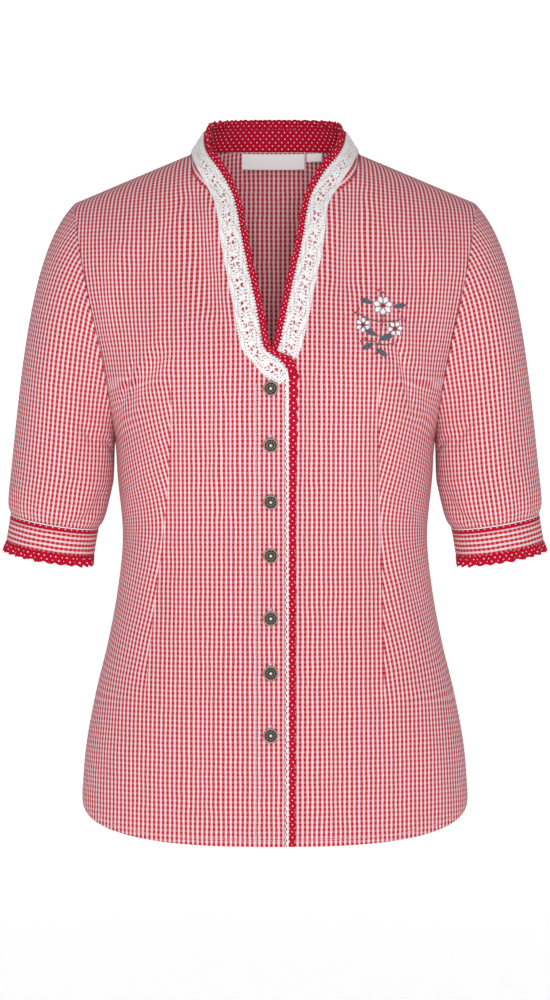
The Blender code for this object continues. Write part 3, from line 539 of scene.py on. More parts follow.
def front_depth(x, z):
    """Distance of the front's outer face in front of the side seams."""
    shape = roundness(x / half_width(z), SECTION_POWER)
    depth = read(LEVELS, "z", "front", z) * shape * shoulder_roll(x, z, 0.0)
    across = ((np.abs(x) - BUST_X) / BUST_SPREAD_X) ** 2
    upward = ((z - BUST_Z) / BUST_SPREAD_Z) ** 2
    bust = BUST_FULLNESS * np.exp(-across - upward)
    return depth + (bust - fold_depth(FRONT_FOLDS, x, z)) * shape


def back_depth(x, z):
    shape = roundness(x / half_width(z), SECTION_POWER)
    return read(LEVELS, "z", "back", z) * shape * shoulder_roll(x, z, BACK_NECK_RISE)


def lifted_back_depth(x, z):
    """Depth of the back with its rise to the collar, for the lengths of its flat cut."""
    lower = np.clip(-z / NECK_BLEND_HEIGHT, 0.0, 1.0)
    top_x = np.abs(x) * (1.0 + NECK_BLEND_SPREAD * lower ** 1.6)
    inside = top_x < NECK_X
    top_x = np.minimum(top_x, NECK_X)
    top_z = read(STAND_BACK, "x", "z", top_x)
    near_top = np.clip(1.0 - (top_z - z) / NECK_BLEND_HEIGHT, 0.0, 1.0) ** 2
    lift = (read(STAND_BACK, "x", "y", top_x) - back_depth(top_x, top_z)) * near_top
    return back_depth(x, z) + lift * inside


def overlap_lift(x):
    """How far the right front rises towards the centre, where it laps over the left front."""
    ramp = (x - PLACKET_RAMP_START) / (PLACKET_RAMP_END - PLACKET_RAMP_START)
    return FRONT_OVERLAP_LIFT * ease(ramp)


def outer_end(row, behind):
    """Outer end of a row of body cloth: on the side seam below the arm, then on the armhole."""
    low = mix(HEM_SIDE_Z, UNDERARM_Z, np.minimum(row / ROWS_BELOW_ARM, 1.0))
    index = np.maximum(row - ROWS_BELOW_ARM, 0.0)
    on_arm = row > ROWS_BELOW_ARM
    x = np.where(on_arm, row_value(ARM_ROWS, "x", index), half_width(low))
    y = np.where(on_arm, row_value(ARM_ROWS, "back_y" if behind else "front_y", index), 0.0)
    z = np.where(on_arm, row_value(ARM_ROWS, "z", index), low)
    return x, y, z


def hem_fall(row):
    return HEM_DROP * np.maximum(0.0, 1.0 - row / ROWS_BELOW_ARM) ** HEM_FALL_POWER


def side_name(side):
    """Name of the table column of a side."""
    return "left_x" if side > 0 else "right_x"


def front_crease_depth(side, x, z):
    """Fine creases and the sharp trough along the waist dart."""
    depth = fold_depth(FRONT_CREASES, x, z)
    line = read(WAIST_DARTS, "z", side_name(side), z)
    taken = read(WAIST_DARTS, "z", "intake", z) / max(column(WAIST_DARTS, "intake"))
    trough = np.exp(-((np.abs(x) - line) / DART_TROUGH_SPREAD) ** 2)
    return depth + DART_TROUGH * trough * np.sqrt(np.clip(taken, 0.0, 1.0))


def front_point(side, share, row, creased=True):
    """Outer face of a front: share 0 is its front edge or neckline, 1 its side seam or armhole."""
    outer_x, outer_y, outer_z = outer_end(row, False)
    on_arm = row > ROWS_BELOW_ARM
    arm_edge_z = row_value(ARM_ROWS, "edge_z", np.maximum(row - ROWS_BELOW_ARM, 0.0))
    edge_z = np.where(on_arm, arm_edge_z, outer_z - hem_fall(row))
    edge_x = side * np.interp(edge_z, column(FRONT_EDGE, "z"), column(FRONT_EDGE, side_name(side)))
    edge_turn = np.arcsin(edge_x / half_width(edge_z))
    outer_turn = np.arcsin(np.minimum(outer_x / half_width(outer_z), 1.0))
    sine = np.sin(mix(edge_turn, outer_turn, share))
    near_x = sine * half_width(mix(edge_z, outer_z, share))
    fall = np.where(on_arm, (outer_x - near_x) / (outer_x - edge_x), roundness(sine, HEM_POWER))
    z = mix(outer_z, edge_z, fall)
    x = side * sine * half_width(z)
    depth = front_depth(x, z)
    depth = depth + (-outer_y - front_depth(outer_x, outer_z)) * share ** ARMHOLE_BLEND_POWER
    if side < 0:
        depth = depth + overlap_lift(x)
    if creased:
        inside = ease(share * FRONT_CREASE_FADE) * ease((1.0 - share) * FRONT_CREASE_FADE)
        depth = depth - front_crease_depth(side, x, z) * inside
    return np.stack([x, -np.maximum(depth, SEAM_GAP / 2.0), z], axis=-1)


def back_point(share, row, creased=True):
    """Outer face of the back: share runs from -1 on the right to 1 on the left."""
    outer_x, outer_y, outer_z = outer_end(row, True)
    on_arm = row > ROWS_BELOW_ARM
    outer_turn = np.arcsin(np.minimum(outer_x / half_width(outer_z), 1.0))
    sine = np.sin(outer_turn * np.abs(share))
    rise = (row - ROWS_BELOW_ARM) / ARM_STEPS
    middle_z = np.where(on_arm, mix(UNDERARM_Z, BACK_NECK_Z, rise), outer_z - hem_fall(row))
    top_x = sine / np.sin(outer_turn) * SHOULDER_X
    neck_z = read(STAND_BACK, "x", "z", top_x)
    shoulder_z = -(top_x - NECK_X) * SHOULDER_DROP / (SHOULDER_X - NECK_X)
    top_z = np.where(top_x < NECK_X, neck_z, shoulder_z)
    arm_fall = (top_z + SHOULDER_DROP) / (BACK_NECK_Z + SHOULDER_DROP)
    fall = np.where(on_arm, arm_fall, roundness(sine, HEM_POWER))
    z = mix(outer_z, middle_z, fall)
    x = sine * half_width(z)
    depth = back_depth(x, z)
    depth = depth + (outer_y - back_depth(outer_x, outer_z)) * np.abs(share) ** ARMHOLE_BLEND_POWER
    near_top = np.maximum(0.0, 1.0 - (BODY_ROWS - row) / NECK_BLEND_ROWS) ** 2
    lift = (read(STAND_BACK, "x", "y", top_x) - back_depth(top_x, top_z)) * near_top
    depth = depth + np.where(on_arm & (top_x < NECK_X), lift, 0.0)
    side = np.where(share >= 0.0, 1.0, -1.0)
    if creased:
        inside = ease((1.0 - np.abs(share)) * BACK_CREASE_FADE) * ease((BODY_ROWS - row) / NECK_BLEND_ROWS)
        depth = depth - fold_depth(BACK_CREASES, side * x, z) * inside
    return np.stack([side * x, np.maximum(depth, SEAM_GAP / 2.0), z], axis=-1)


def armhole_point(side, place):
    """Armhole from the shoulder tip down the front to the underarm and up the back."""
    behind = place > ARM_STEPS
    index = np.where(behind, place - ARM_STEPS, ARM_STEPS - place)
    front_y = row_value(ARM_ROWS, "front_y", index)
    y = np.where(behind, row_value(ARM_ROWS, "back_y", index), front_y)
    return np.stack([side * row_value(ARM_ROWS, "x", index), y, row_value(ARM_ROWS, "z", index)], axis=-1)


def ring_point(side, centre, half_across, half_deep, tilt, turn):
    """Point of a tilted ring round an arm: turn 0 is its outer side, a quarter turn its front."""
    slope = np.radians(tilt)
    wide = half_across * np.cos(turn)
    x = side * np.cos(slope) * wide
    y = -half_deep * np.sin(turn) + np.zeros_like(x)
    return centre + np.stack([x, y, np.sin(slope) * wide + np.zeros_like(x)], axis=-1)


def arm_ring_point(side, ring, turn):
    ring = ring + np.zeros_like(turn)
    parts = {name: row_value(ARM_RINGS, name, ring) for name in ArmRing._fields}
    centre = np.stack([side * parts["x"], parts["y"], parts["z"]], axis=-1)
    return ring_point(side, centre, parts["half_width"], parts["half_depth"], parts["tilt"], turn)


def sleeve_point(side, turn, ring):
    """Outer face of a sleeve: ring 0 lies on the armhole, the cap rings bend it down the arm."""
    cap_turn = turn + np.zeros_like(ring)
    place = np.mod(cap_turn / (2.0 * math.pi), 1.0) * ARM_COLUMNS
    tip = np.maximum(np.cos(cap_turn), 0.0) ** 2
    under = np.maximum(-np.cos(cap_turn), 0.0) ** 2
    leave = 0.0
    reach = 0.0
    hang = 0.0
    for way, share in ((CAP_TIP, tip), (CAP_FACE, np.sin(cap_turn) ** 2), (CAP_UNDERARM, under)):
        leave = leave + np.array([side * way.outward, 0.0, -way.down]) * share[..., None]
        reach = reach + way.reach * share
        hang = hang + way.hang * share
    leave = unit(leave)
    start = armhole_point(side, place) + leave * SEAM_GAP
    end = arm_ring_point(side, 0.0, cap_turn)
    arrive = np.array([side * ARM_WAY[0], ARM_WAY[1], ARM_WAY[2]])
    t = np.clip(ring / SLEEVE_CAP_RINGS, 0.0, 1.0)[..., None] + np.zeros_like(start)
    s = 1.0 - t
    cap = start * s ** 3 + (start + leave * reach[..., None]) * 3.0 * t * s ** 2
    cap = cap + (end - arrive * hang[..., None]) * 3.0 * t ** 2 * s + end * t ** 3
    below = np.maximum(ring - SLEEVE_CAP_RINGS, 0.0)
    low = arm_ring_point(side, below, cap_turn) - front_dip(cap_turn, ease(below / (len(ARM_RINGS) - 1)))
    return np.where((ring >= SLEEVE_CAP_RINGS)[..., None], low, cap)


def on_front(side, x, z, out):
    """Points a distance outside a front's outer face."""
    lift = overlap_lift(x) if side < 0 else 0.0
    return np.stack([x + 0.0 * z, -front_depth(x, z) - lift - out, z + 0.0 * x], axis=-1)


def faced_front(side, x, z):
    """Points on a front's outer face with the directions across it."""
    here = on_front(side, x, z, 0.0)
    facing = np.cross(on_front(side, x + 0.5, z, 0.0) - here, on_front(side, x, z + 0.5, 0.0) - here)
    return here, unit(facing)


def front_place(side, x, y, z):
    """A table's point: one without a depth lies on the front."""
    return on_front(side, x, z, 0.0) if y is None else np.array([x, y, z], float)


def hem_z(x):
    """Height of the front hem at x."""
    return HEM_SIDE_Z - HEM_DROP * roundness(x / half_width(HEM_SIDE_Z), HEM_POWER)


def lengths(points, axis=0):
    """Distance along chains of points from their first point."""
    steps = np.linalg.norm(np.diff(points, axis=axis), axis=-1)
    first = np.zeros_like(np.take(steps, [0], axis=axis))
    return np.concatenate([first, np.cumsum(steps, axis=axis)], axis=axis)


def grid_normals(grid, closed=False):
    """Unit directions across a grid's face: its columns' way crossed with its rows' way."""
    if closed:
        wrapped = np.concatenate([grid[:, -1:], grid, grid[:, :1]], axis=1)
        across = (wrapped[:, 2:] - wrapped[:, :-2]) / 2.0
    else:
        across = np.gradient(grid, axis=1)
    upward = np.gradient(grid, axis=0)
    normals = np.cross(across, upward)
    size = np.linalg.norm(normals, axis=-1, keepdims=True)
    return normals / np.maximum(size, 1e-9)


class FlatCut:
    """Where each point of a body panel lay on the flat cloth, from lengths along its surface."""

    def __init__(self, depth):
        self.heights = np.arange(TABLE_LOW_Z, TABLE_HIGH_Z, TABLE_STEP)
        self.turns = np.linspace(0.0, math.pi / 2.0, TABLE_TURNS)
        z, turn = np.meshgrid(self.heights, self.turns, indexing="ij")
        x = half_width(z) * np.sin(turn)
        points = np.stack([x, depth(x, z), z], axis=-1)
        level = points * np.array([1.0, 1.0, 0.0])
        self.across = lengths(level, axis=1)
        self.upward = lengths(points, axis=0)
        grain = int(np.argmin(np.abs(self.heights - GRAIN_Z)))
        self.upward = self.upward - self.upward[grain:grain + 1]

    def look_up(self, table, z, turn):
        row = np.clip((z - self.heights[0]) / TABLE_STEP, 0.0, len(self.heights) - 1.001)
        place = np.clip(turn / self.turns[1], 0.0, TABLE_TURNS - 1.001)
        i = row.astype(int)
        j = place.astype(int)
        t = row - i
        low = mix(table[i, j], table[i, j + 1], place - j)
        high = mix(table[i + 1, j], table[i + 1, j + 1], place - j)
        return mix(low, high, t)

    def places(self, grid):
        x = grid[..., 0]
        z = grid[..., 2]
        turn = np.arcsin(np.minimum(np.abs(x) / half_width(z), 1.0))
        u = self.look_up(self.across, z, turn) * np.sign(x)
        return np.stack([u, self.look_up(self.upward, z, turn)], axis=-1)


def corner_places(places):
    """The four corners of each cell of a grid of flat places."""
    parts = [places[:-1, :-1], places[:-1, 1:], places[1:, 1:], places[1:, :-1]]
    return np.stack(parts, axis=2)


def strip_places(grid, turned=False, closed=False):
    """Flat places of a strip: lengths along its rows and across them."""
    line = grid[len(grid) // 2]
    if closed:
        line = np.concatenate([line, line[:1]])
    along = lengths(line)
    across = lengths(grid[:, grid.shape[1] // 2])
    v, u = np.meshgrid(across, along, indexing="ij")
    return np.stack([v, u] if turned else [u, v], axis=-1)


def make_mesh(name, points, faces, corners=None, smooth=True):
    mesh = bpy.data.meshes.new(name)
    mesh.from_pydata((np.asarray(points, float).reshape(-1, 3) * MM).tolist(), [], faces)
    if corners is not None:
        layer = mesh.uv_layers.new(name="flat_cut")
        layer.data.foreach_set("uv", (np.asarray(corners) * MM).ravel())
    mesh.polygons.foreach_set("use_smooth", [smooth] * len(mesh.polygons))
    mesh.update()
    return mesh


def link(name, mesh, material):
    piece = bpy.data.objects.new(name, mesh)
    bpy.context.scene.collection.objects.link(piece)
    if material is not None:
        mesh.materials.append(material)
    return piece


def make_sheet(name, grid, places, material, thickness, closed=False, flip=False, keep=None):
    """Thin shell of cloth: the grid is its outer face, and places is where it lay when flat."""
    rows, count = grid.shape[:2]
    across = count if closed else count - 1
    r, c = np.meshgrid(np.arange(rows - 1), np.arange(across), indexing="ij")
    after = (c + 1) % count
    low = r * count
    high = low + count
    faces = np.stack([low + c, low + after, high + after, high + c], axis=-1)
    corners = places if places.ndim == 4 else corner_places(places)
    if keep is None:
        keep = np.ones(faces.shape[:2], bool)
    faces = faces[keep]
    corners = corners[keep]
    if flip:
        faces = faces[:, ::-1]
        corners = corners[:, ::-1]
    used, faces = np.unique(faces, return_inverse=True)
    points = grid.reshape(-1, 3)[used]
    mesh = make_mesh(name, points, faces.reshape(-1, 4).tolist(), corners)
    piece = link(name, mesh, material)
    shell = piece.modifiers.new("cloth thickness", "SOLIDIFY")
    shell.thickness = thickness * MM
    shell.offset = -1.0
    return piece, corners


def cut_size(corners):
    """Width, length and area of flat cells, in metres."""
    flat = corners.reshape(-1, 2) * MM
    width, length = flat.max(axis=0) - flat.min(axis=0)
    cells = corners.reshape(-1, 4, 2) * MM
    x = cells[..., 0]
    y = cells[..., 1]
    area = np.abs(np.sum(x * np.roll(y, -1, axis=1) - np.roll(x, -1, axis=1) * y, axis=1)).sum() / 2.0
    return float(width), float(length), float(min(area, width * length))


def sew_on(piece, slot_name, *nodes):
    """The piece rides on the blouse and stands for the named nodes, which are hidden; slot_name is not used.
    """
    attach(piece, "root")
    if nodes:
        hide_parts(*nodes)
    return piece


def declare_cloth(corners):
    """Works out the cut of the cloth that shows, a narrow strip cut wider for its seam turnings; the result
    is not kept.
    """
    width, length, area = cut_size(corners)
    cut = (max(width, NARROWEST_CUT), max(length, NARROWEST_CUT))
    area = max(area, LEAST_CUT_SHARE * cut[0] * cut[1])


class NodeBuilder:
    """Short calls that add and join shader nodes of one material."""

    def __init__(self, name):
        self.material = bpy.data.materials.new(name)
        self.material.use_nodes = True
        self.tree = self.material.node_tree
        self.shader = self.tree.nodes["Principled BSDF"]

    def node(self, kind, **settings):
        made = self.tree.nodes.new(kind)
        for name, value in settings.items():
            setattr(made, name, value)
        return made

    def put(self, socket, value):
        if isinstance(value, bpy.types.NodeSocket):
            self.tree.links.new(value, socket)
        else:
            socket.default_value = value

    def math(self, operation, *values, clamp=False):
        made = self.node("ShaderNodeMath", operation=operation, use_clamp=clamp)
        for socket, value in zip(made.inputs, values):
            self.put(socket, value)
        return made.outputs[0]

    def vector(self, operation, *values):
        made = self.node("ShaderNodeVectorMath", operation=operation)
        for socket, value in zip(made.inputs, values):
            self.put(socket, value)
        return made.outputs["Value"] if operation == "LENGTH" else made.outputs["Vector"]

    def blend(self, share, first, second):
        made = self.node("ShaderNodeMix", data_type="RGBA")
        self.put(made.inputs["Factor"], share)
        self.put(made.inputs["A"], first)
        self.put(made.inputs["B"], second)
        return made.outputs["Result"]

    def flat_place(self):
        """Place on the flat cut in millimetres: the vector and its two parts."""
        place = self.node("ShaderNodeUVMap", uv_map="flat_cut").outputs["UV"]
        place = self.vector("MULTIPLY", place, (1.0 / MM, 1.0 / MM, 0.0))
        parts = self.node("ShaderNodeSeparateXYZ")
        self.put(parts.inputs[0], place)
        return place, parts.outputs["X"], parts.outputs["Y"]

    def wave(self, value, pitch):
        return self.math("SINE", self.math("MULTIPLY", value, 2.0 * math.pi / pitch))

    def noise(self, place, scale, detail=2.0):
        made = self.node("ShaderNodeTexNoise")
        self.put(made.inputs["Vector"], place)
        made.inputs["Scale"].default_value = scale
        made.inputs["Detail"].default_value = detail
        return made.outputs[0]

    def bump(self, height, strength, distance):
        made = self.node("ShaderNodeBump")
        made.inputs["Strength"].default_value = strength
        made.inputs["Distance"].default_value = distance * MM
        self.put(made.inputs["Height"], height)
        self.put(self.shader.inputs["Normal"], made.outputs["Normal"])

    def cloth_finish(self, roughness, sheen, gloss=0.2):
        self.shader.inputs["Roughness"].default_value = roughness
        self.shader.inputs["Sheen Weight"].default_value = sheen
        self.shader.inputs["Sheen Roughness"].default_value = 0.5
        self.shader.inputs["Specular IOR Level"].default_value = gloss


def rgba(colour):
    return (colour[0], colour[1], colour[2], 1.0)


def darker(colour, shade):
    return (colour[0] * shade, colour[1] * shade, colour[2] * shade)


def gingham_material():
    """Yarn-dyed check: each crossing shows the warp or the weft thread that lies on top."""
    settings = bpy.context.scene.blouse_cloth
    nodes = NodeBuilder("gingham")
    place, u, v = nodes.flat_place()
    drift = nodes.noise(place, 0.045)
    drift = nodes.math("MULTIPLY", nodes.math("SUBTRACT", drift, 0.5), 1.1)
    sharp = settings.check_sharpness
    pitch_u = settings.check_width / MM
    pitch_v = settings.check_height / MM
    middle = 0.5 + settings.red_lead
    columns = nodes.wave(nodes.math("ADD", u, drift), pitch_u)
    columns = nodes.math("MULTIPLY_ADD", columns, sharp, middle, clamp=True)
    rows = nodes.wave(nodes.math("ADD", v, drift), pitch_v)
    rows = nodes.math("MULTIPLY_ADD", rows, sharp, middle, clamp=True)
    red = rgba(settings.red_yarn)
    white = rgba(settings.white_yarn)
    warp = nodes.blend(columns, white, red)
    weft = nodes.blend(rows, white, red)
    thread = settings.thread_pitch / MM
    over = nodes.math("MULTIPLY", nodes.wave(u, thread * 2.0), nodes.wave(v, thread * 2.0))
    slub = nodes.noise(nodes.vector("MULTIPLY", place, (2.6, 0.35, 1.0)), 1.0, 3.0)
    weft_share = nodes.math("MULTIPLY_ADD", over, settings.weave_contrast, settings.weft_share)
    weft_share = nodes.math("MULTIPLY_ADD", nodes.math("SUBTRACT", slub, 0.5), 0.25, weft_share, clamp=True)
    colour = nodes.blend(weft_share, warp, weft)
    nodes.put(nodes.shader.inputs["Base Color"], colour)
    ridges = nodes.math("MULTIPLY", nodes.wave(v, pitch_v), 0.22)
    crinkle = nodes.noise(place, 0.22, 3.0)
    height = nodes.math("MULTIPLY_ADD", crinkle, 2.2, nodes.math("MULTIPLY", over, 0.3))
    nodes.bump(nodes.math("ADD", height, ridges), 0.5, 0.35)
    nodes.cloth_finish(0.9, 0.03, 0.12)
    return nodes.material


def dotted_material():
    """Crimson cotton with a staggered print of small white dots."""
    settings = bpy.context.scene.blouse_dots
    nodes = NodeBuilder("pin_dot")
    place, u, v = nodes.flat_place()
    wide = settings.spacing / MM
    tall = settings.row_spacing / MM * 2.0
    nearest = None
    for shift in (0.0, 0.5):
        cell = nodes.vector("MULTIPLY_ADD", place, (1.0 / wide, 1.0 / tall, 0.0), (shift, shift, 0.0))
        cell = nodes.vector("FRACTION", cell)
        cell = nodes.vector("SUBTRACT", cell, (0.5, 0.5, 0.0))
        cell = nodes.vector("MULTIPLY", cell, (wide, tall, 0.0))
        distance = nodes.vector("LENGTH", cell)
        nearest = distance if nearest is None else nodes.math("MINIMUM", nearest, distance)
    radius = settings.dot_diameter / MM / 2.0
    dot = nodes.math("MULTIPLY", nodes.math("SUBTRACT", radius, nearest), 5.0)
    dot = nodes.math("ADD", dot, 0.5, clamp=True)
    mottle = nodes.noise(place, 0.9, 3.0)
    ground = nodes.blend(mottle, rgba(settings.ground_dark), rgba(settings.ground))
    nodes.put(nodes.shader.inputs["Base Color"], nodes.blend(dot, ground, rgba(settings.dot)))
    over = nodes.math("MULTIPLY", nodes.wave(u, 0.64), nodes.wave(v, 0.64))
    crinkle = nodes.noise(place, 0.5, 3.0)
    nodes.bump(nodes.math("MULTIPLY_ADD", crinkle, 1.6, nodes.math("MULTIPLY", over, 0.3)), 0.4, 0.3)
    nodes.cloth_finish(0.85, 0.03, 0.1)
    return nodes.material


def thread_material(name, colour, shade=0.82, roughness=0.85):
    """Twisted cotton thread: fine slanting plies over an uneven tone, with painted shade that darkens their
    low grooves.
    """
    nodes = NodeBuilder(name)
    place = nodes.node("ShaderNodeTexCoord").outputs["Object"]
    place = nodes.vector("MULTIPLY", place, (1.0 / MM, 1.0 / MM, 1.0 / MM))
    plies = nodes.node("ShaderNodeTexWave", wave_type="BANDS", bands_direction="DIAGONAL")
    nodes.put(plies.inputs["Vector"], place)
    plies.inputs["Scale"].default_value = 0.55
    plies.inputs["Distortion"].default_value = 2.5
    uneven = nodes.noise(place, 0.9, 3.0)
    # Painted shade: the value that sets the bump height also darkens the colour, so the low grooves between
    # plies are painted darker. Its noise also gives an uneven tone.
    dark = darker(colour, shade)
    share = nodes.math("MULTIPLY", uneven, 0.8)
    share = nodes.math("MULTIPLY_ADD", plies.outputs[1], 0.4, share, clamp=True)
    nodes.put(nodes.shader.inputs["Base Color"], nodes.blend(share, rgba(dark), rgba(colour)))
    nodes.bump(share, 0.5, 0.15)
    nodes.cloth_finish(roughness, 0.15)
    return nodes.material


def lace_material():
    """White cotton lace: crossing threads with specks of the cloth beneath between them."""
    settings = bpy.context.scene.blouse_trim
    nodes = NodeBuilder("cotton_lace")
    place, u, v = nodes.flat_place()
    uneven = nodes.noise(place, 0.55, 3.0)
    rising = nodes.wave(nodes.math("ADD", u, nodes.math("MULTIPLY_ADD", uneven, 3.4, v)), 2.5)
    falling = nodes.wave(nodes.math("SUBTRACT", nodes.math("MULTIPLY_ADD", uneven, 2.9, u), v), 2.2)
    net = nodes.math("MULTIPLY", rising, falling)
    specks = nodes.math("MULTIPLY_ADD", nodes.math("ADD", net, uneven), 3.0, -2.75, clamp=True)
    specks = nodes.math("MULTIPLY", specks, settings.lace_openness)
    light = settings.lace
    nodes.put(nodes.shader.inputs["Base Color"], nodes.blend(specks, rgba(light), rgba(settings.lace_ground)))
    threads = nodes.math("ADD", nodes.math("MULTIPLY", net, -1.0), nodes.wave(nodes.math("ADD", u, v), 0.5))
    nodes.bump(threads, 0.4, 0.2)
    nodes.cloth_finish(0.85, 0.1)
    return nodes.material


def pewter_material():
    """Antique metal: dark in the hollows, rubbed bright on the raised rim and boss."""
    settings = bpy.context.scene.blouse_buttons
    nodes = NodeBuilder("antique_pewter")
    wear = nodes.node("ShaderNodeAttribute", attribute_name="wear").outputs["Fac"]
    place = nodes.node("ShaderNodeTexCoord").outputs["Object"]
    spots = nodes.noise(nodes.vector("MULTIPLY", place, (1.0 / MM, 1.0 / MM, 1.0 / MM)), 1.4, 4.0)
    share = nodes.math("MULTIPLY_ADD", nodes.math("SUBTRACT", spots, 0.5), 0.5, wear, clamp=True)
    colour = nodes.blend(share, rgba(settings.tarnish), rgba(settings.metal))
    nodes.put(nodes.shader.inputs["Base Color"], colour)
    nodes.shader.inputs["Metallic"].default_value = 0.85
    roughness = nodes.math("MULTIPLY_ADD", share, -0.25, 0.62)
    nodes.put(nodes.shader.inputs["Roughness"], roughness)
    nodes.bump(spots, 0.3, 0.08)
    return nodes.material


def label_material():
    """Plain woven satin ribbon with fine cross ribs."""
    settings = bpy.context.scene.blouse_trim
    nodes = NodeBuilder("woven_label")
    place, u, v = nodes.flat_place()
    ribs = nodes.wave(v, 0.5)
    cross = nodes.wave(u, 0.9)
    share = nodes.math("MULTIPLY_ADD", nodes.math("MULTIPLY", ribs, cross), 0.3, 0.6, clamp=True)
    light = settings.label
    dark = darker(light, 0.9)
    nodes.put(nodes.shader.inputs["Base Color"], nodes.blend(share, rgba(dark), rgba(light)))
    nodes.bump(nodes.math("ADD", ribs, nodes.noise(place, 0.6)), 0.3, 0.08)
    nodes.cloth_finish(0.5, 0.2)
    return nodes.material


MATERIAL_MAKERS = {
    "gingham": gingham_material,
    "pin_dot": dotted_material,
    "cotton_lace": lace_material,
    "antique_pewter": pewter_material,
    "woven_label": label_material,
}


def material(name):
    found = bpy.data.materials.get(name)
    if found is None:
        found = MATERIAL_MAKERS[name]()
    return found


def thread(name, colour):
    found = bpy.data.materials.get(name)
    if found is None:
        found = thread_material(name, colour)
    return found


def front_shares(side, rows):
    """Share of each mesh column of a front: one column follows the waist dart."""
    dense = np.linspace(0.0, 1.0, 401)
    shape = front_point(side, dense[None, :], rows[:, None], creased=False)
    line = read(WAIST_DARTS, "z", side_name(side), shape[..., 2])
    past = side * shape[..., 0] - line
    hit = np.maximum(np.argmax(past > 0.0, axis=1), 1)
    r = np.arange(len(rows))
    before = past[r, hit - 1]
    t = -before / (past[r, hit] - before)
    aligned = mix(dense[hit - 1], dense[hit], np.clip(t, 0.0, 1.0))
    height = shape[r, hit, 2]
    even_share = DART_COLUMN / FRONT_MESH_COLUMNS
    aligned = mix(aligned, even_share, ease((height - DART_TOP_Z) / DART_FADE))
    inner = np.linspace(0.0, 1.0, DART_COLUMN + 1)[None, :] * aligned[:, None]
    outer_steps = np.linspace(0.0, 1.0, FRONT_MESH_COLUMNS - DART_COLUMN + 1)[1:]
    outer = mix(aligned[:, None], 1.0, outer_steps[None, :])
    return np.concatenate([inner, outer], axis=1)


def make_front(side, name, node):
    rows = np.linspace(0.0, BODY_ROWS, BODY_MESH_ROWS + 1)
    shares = front_shares(side, rows)
    grid = front_point(side, shares, rows[:, None])
    smooth_grid = front_point(side, shares, rows[:, None], creased=False)
    places = FlatCut(front_depth).places(smooth_grid)
    folds = FRONT_FOLDS[:BUNCHED_FOLDS] + FRONT_CREASES
    places = bunched(places, folds, smooth_grid[..., 0], smooth_grid[..., 2])
    z = grid[..., 2]
    intake = read(WAIST_DARTS, "z", "intake", z)
    tilt = (read(WAIST_DARTS, "z", "intake", z + 4.0) - read(WAIST_DARTS, "z", "intake", z - 4.0)) / 8.0
    beyond = np.abs(places[..., 0]) - np.abs(places[:, DART_COLUMN:DART_COLUMN + 1, 0])
    moved = np.stack([places[..., 0] + side * intake, places[..., 1] - tilt * beyond], axis=-1)
    corners = corner_places(places)
    corners[:, DART_COLUMN:] = corner_places(moved)[:, DART_COLUMN:]
    piece, corners = make_sheet(name, grid, corners, material("gingham"), SHOWN_CLOTH, flip=side < 0)
    sew_on(piece, "gingham_cotton", node)
    return piece, corners


def make_back():
    rows = np.linspace(0.0, BODY_ROWS, BODY_MESH_ROWS + 1)
    shares = np.linspace(-1.0, 1.0, BACK_MESH_COLUMNS + 1)
    grid = back_point(shares[None, :], rows[:, None])
    places = FlatCut(lifted_back_depth).places(grid)
    places = bunched(places, BACK_CREASES, grid[..., 0], grid[..., 2])
    piece, corners = make_sheet("back_cloth", grid, places, material("gingham"), SHOWN_CLOTH, flip=True)
    sew_on(piece, "gingham_cotton", "back")
    return piece, corners


def sleeve_places(side, grid, ring_shares):
    """Flat cut of a sleeve: lengths round it square to its grain, and lengths up it.

    Below its widest ring the cloth is gathered, so each thread stays at its turn round the arm.
    """
    grain = np.array([side * SLEEVE_GRAIN[0], SLEEVE_GRAIN[1], SLEEVE_GRAIN[2]])
    down = grid @ grain
    levels = np.linspace(down.min(), down.max(), 90)
    count = grid.shape[1]
    level_points = np.zeros((len(levels), count, 3))
    for c in range(count):
        for axis in range(3):
            level_points[:, c, axis] = np.interp(levels, down[:, c], grid[:, c, axis])
    around = lengths(level_points, axis=1)
    outer = count // 2
    around = around - around[:, outer:outer + 1]
    u = np.zeros(down.shape)
    for c in range(count):
        u[:, c] = np.interp(down[:, c], levels, around[:, c])
    widest = int(np.argmax(ring_shares >= SLEEVE_CAP_RINGS))
    u[widest:] = u[widest]
    upward = lengths(grid[::-1], axis=0)[::-1]
    return np.stack([u * side, upward], axis=-1)


def make_sleeve(side, name, node):
    rings = np.linspace(0.0, SLEEVE_CAP_RINGS + len(ARM_RINGS) - 1, SLEEVE_MESH_ROWS + 1)
    turns = np.linspace(-math.pi, math.pi, SLEEVE_MESH_COLUMNS + 1)
    ring, turn = np.meshgrid(rings, turns, indexing="ij")
    grid = sleeve_point(side, turn, ring)
    places = sleeve_places(side, grid, rings)
    radius = SLEEVE_FOLD_RADIUS
    height = SLEEVE_RING_HEIGHT
    folds = []
    for fold in SLEEVE_FOLDS:
        start = math.radians(fold.turn) * radius
        end = math.radians(fold.end_turn) * radius
        folds.append(Fold(start, fold.ring * height, end, fold.end_ring * height, fold.spread, fold.depth))
    inward = fold_depth(folds, turn * radius, ring * height)
    inward *= ease(ring * 1.5) * ease((rings[-1] - ring) * 1.6)
    normals = grid_normals(grid[:, :-1], closed=True)
    normals = np.concatenate([normals, normals[:, :1]], axis=1)
    middle = grid.mean(axis=1, keepdims=True)
    outward = np.sign(np.sum(normals * (grid - middle), axis=-1).mean())
    grid = grid - normals * outward * inward[..., None]
    piece, corners = make_sheet(name, grid[:, :-1], places, material("gingham"), SHOWN_CLOTH,
                                closed=True, flip=outward < 0.0)
    sew_on(piece, "gingham_cotton", node)
    return piece, corners


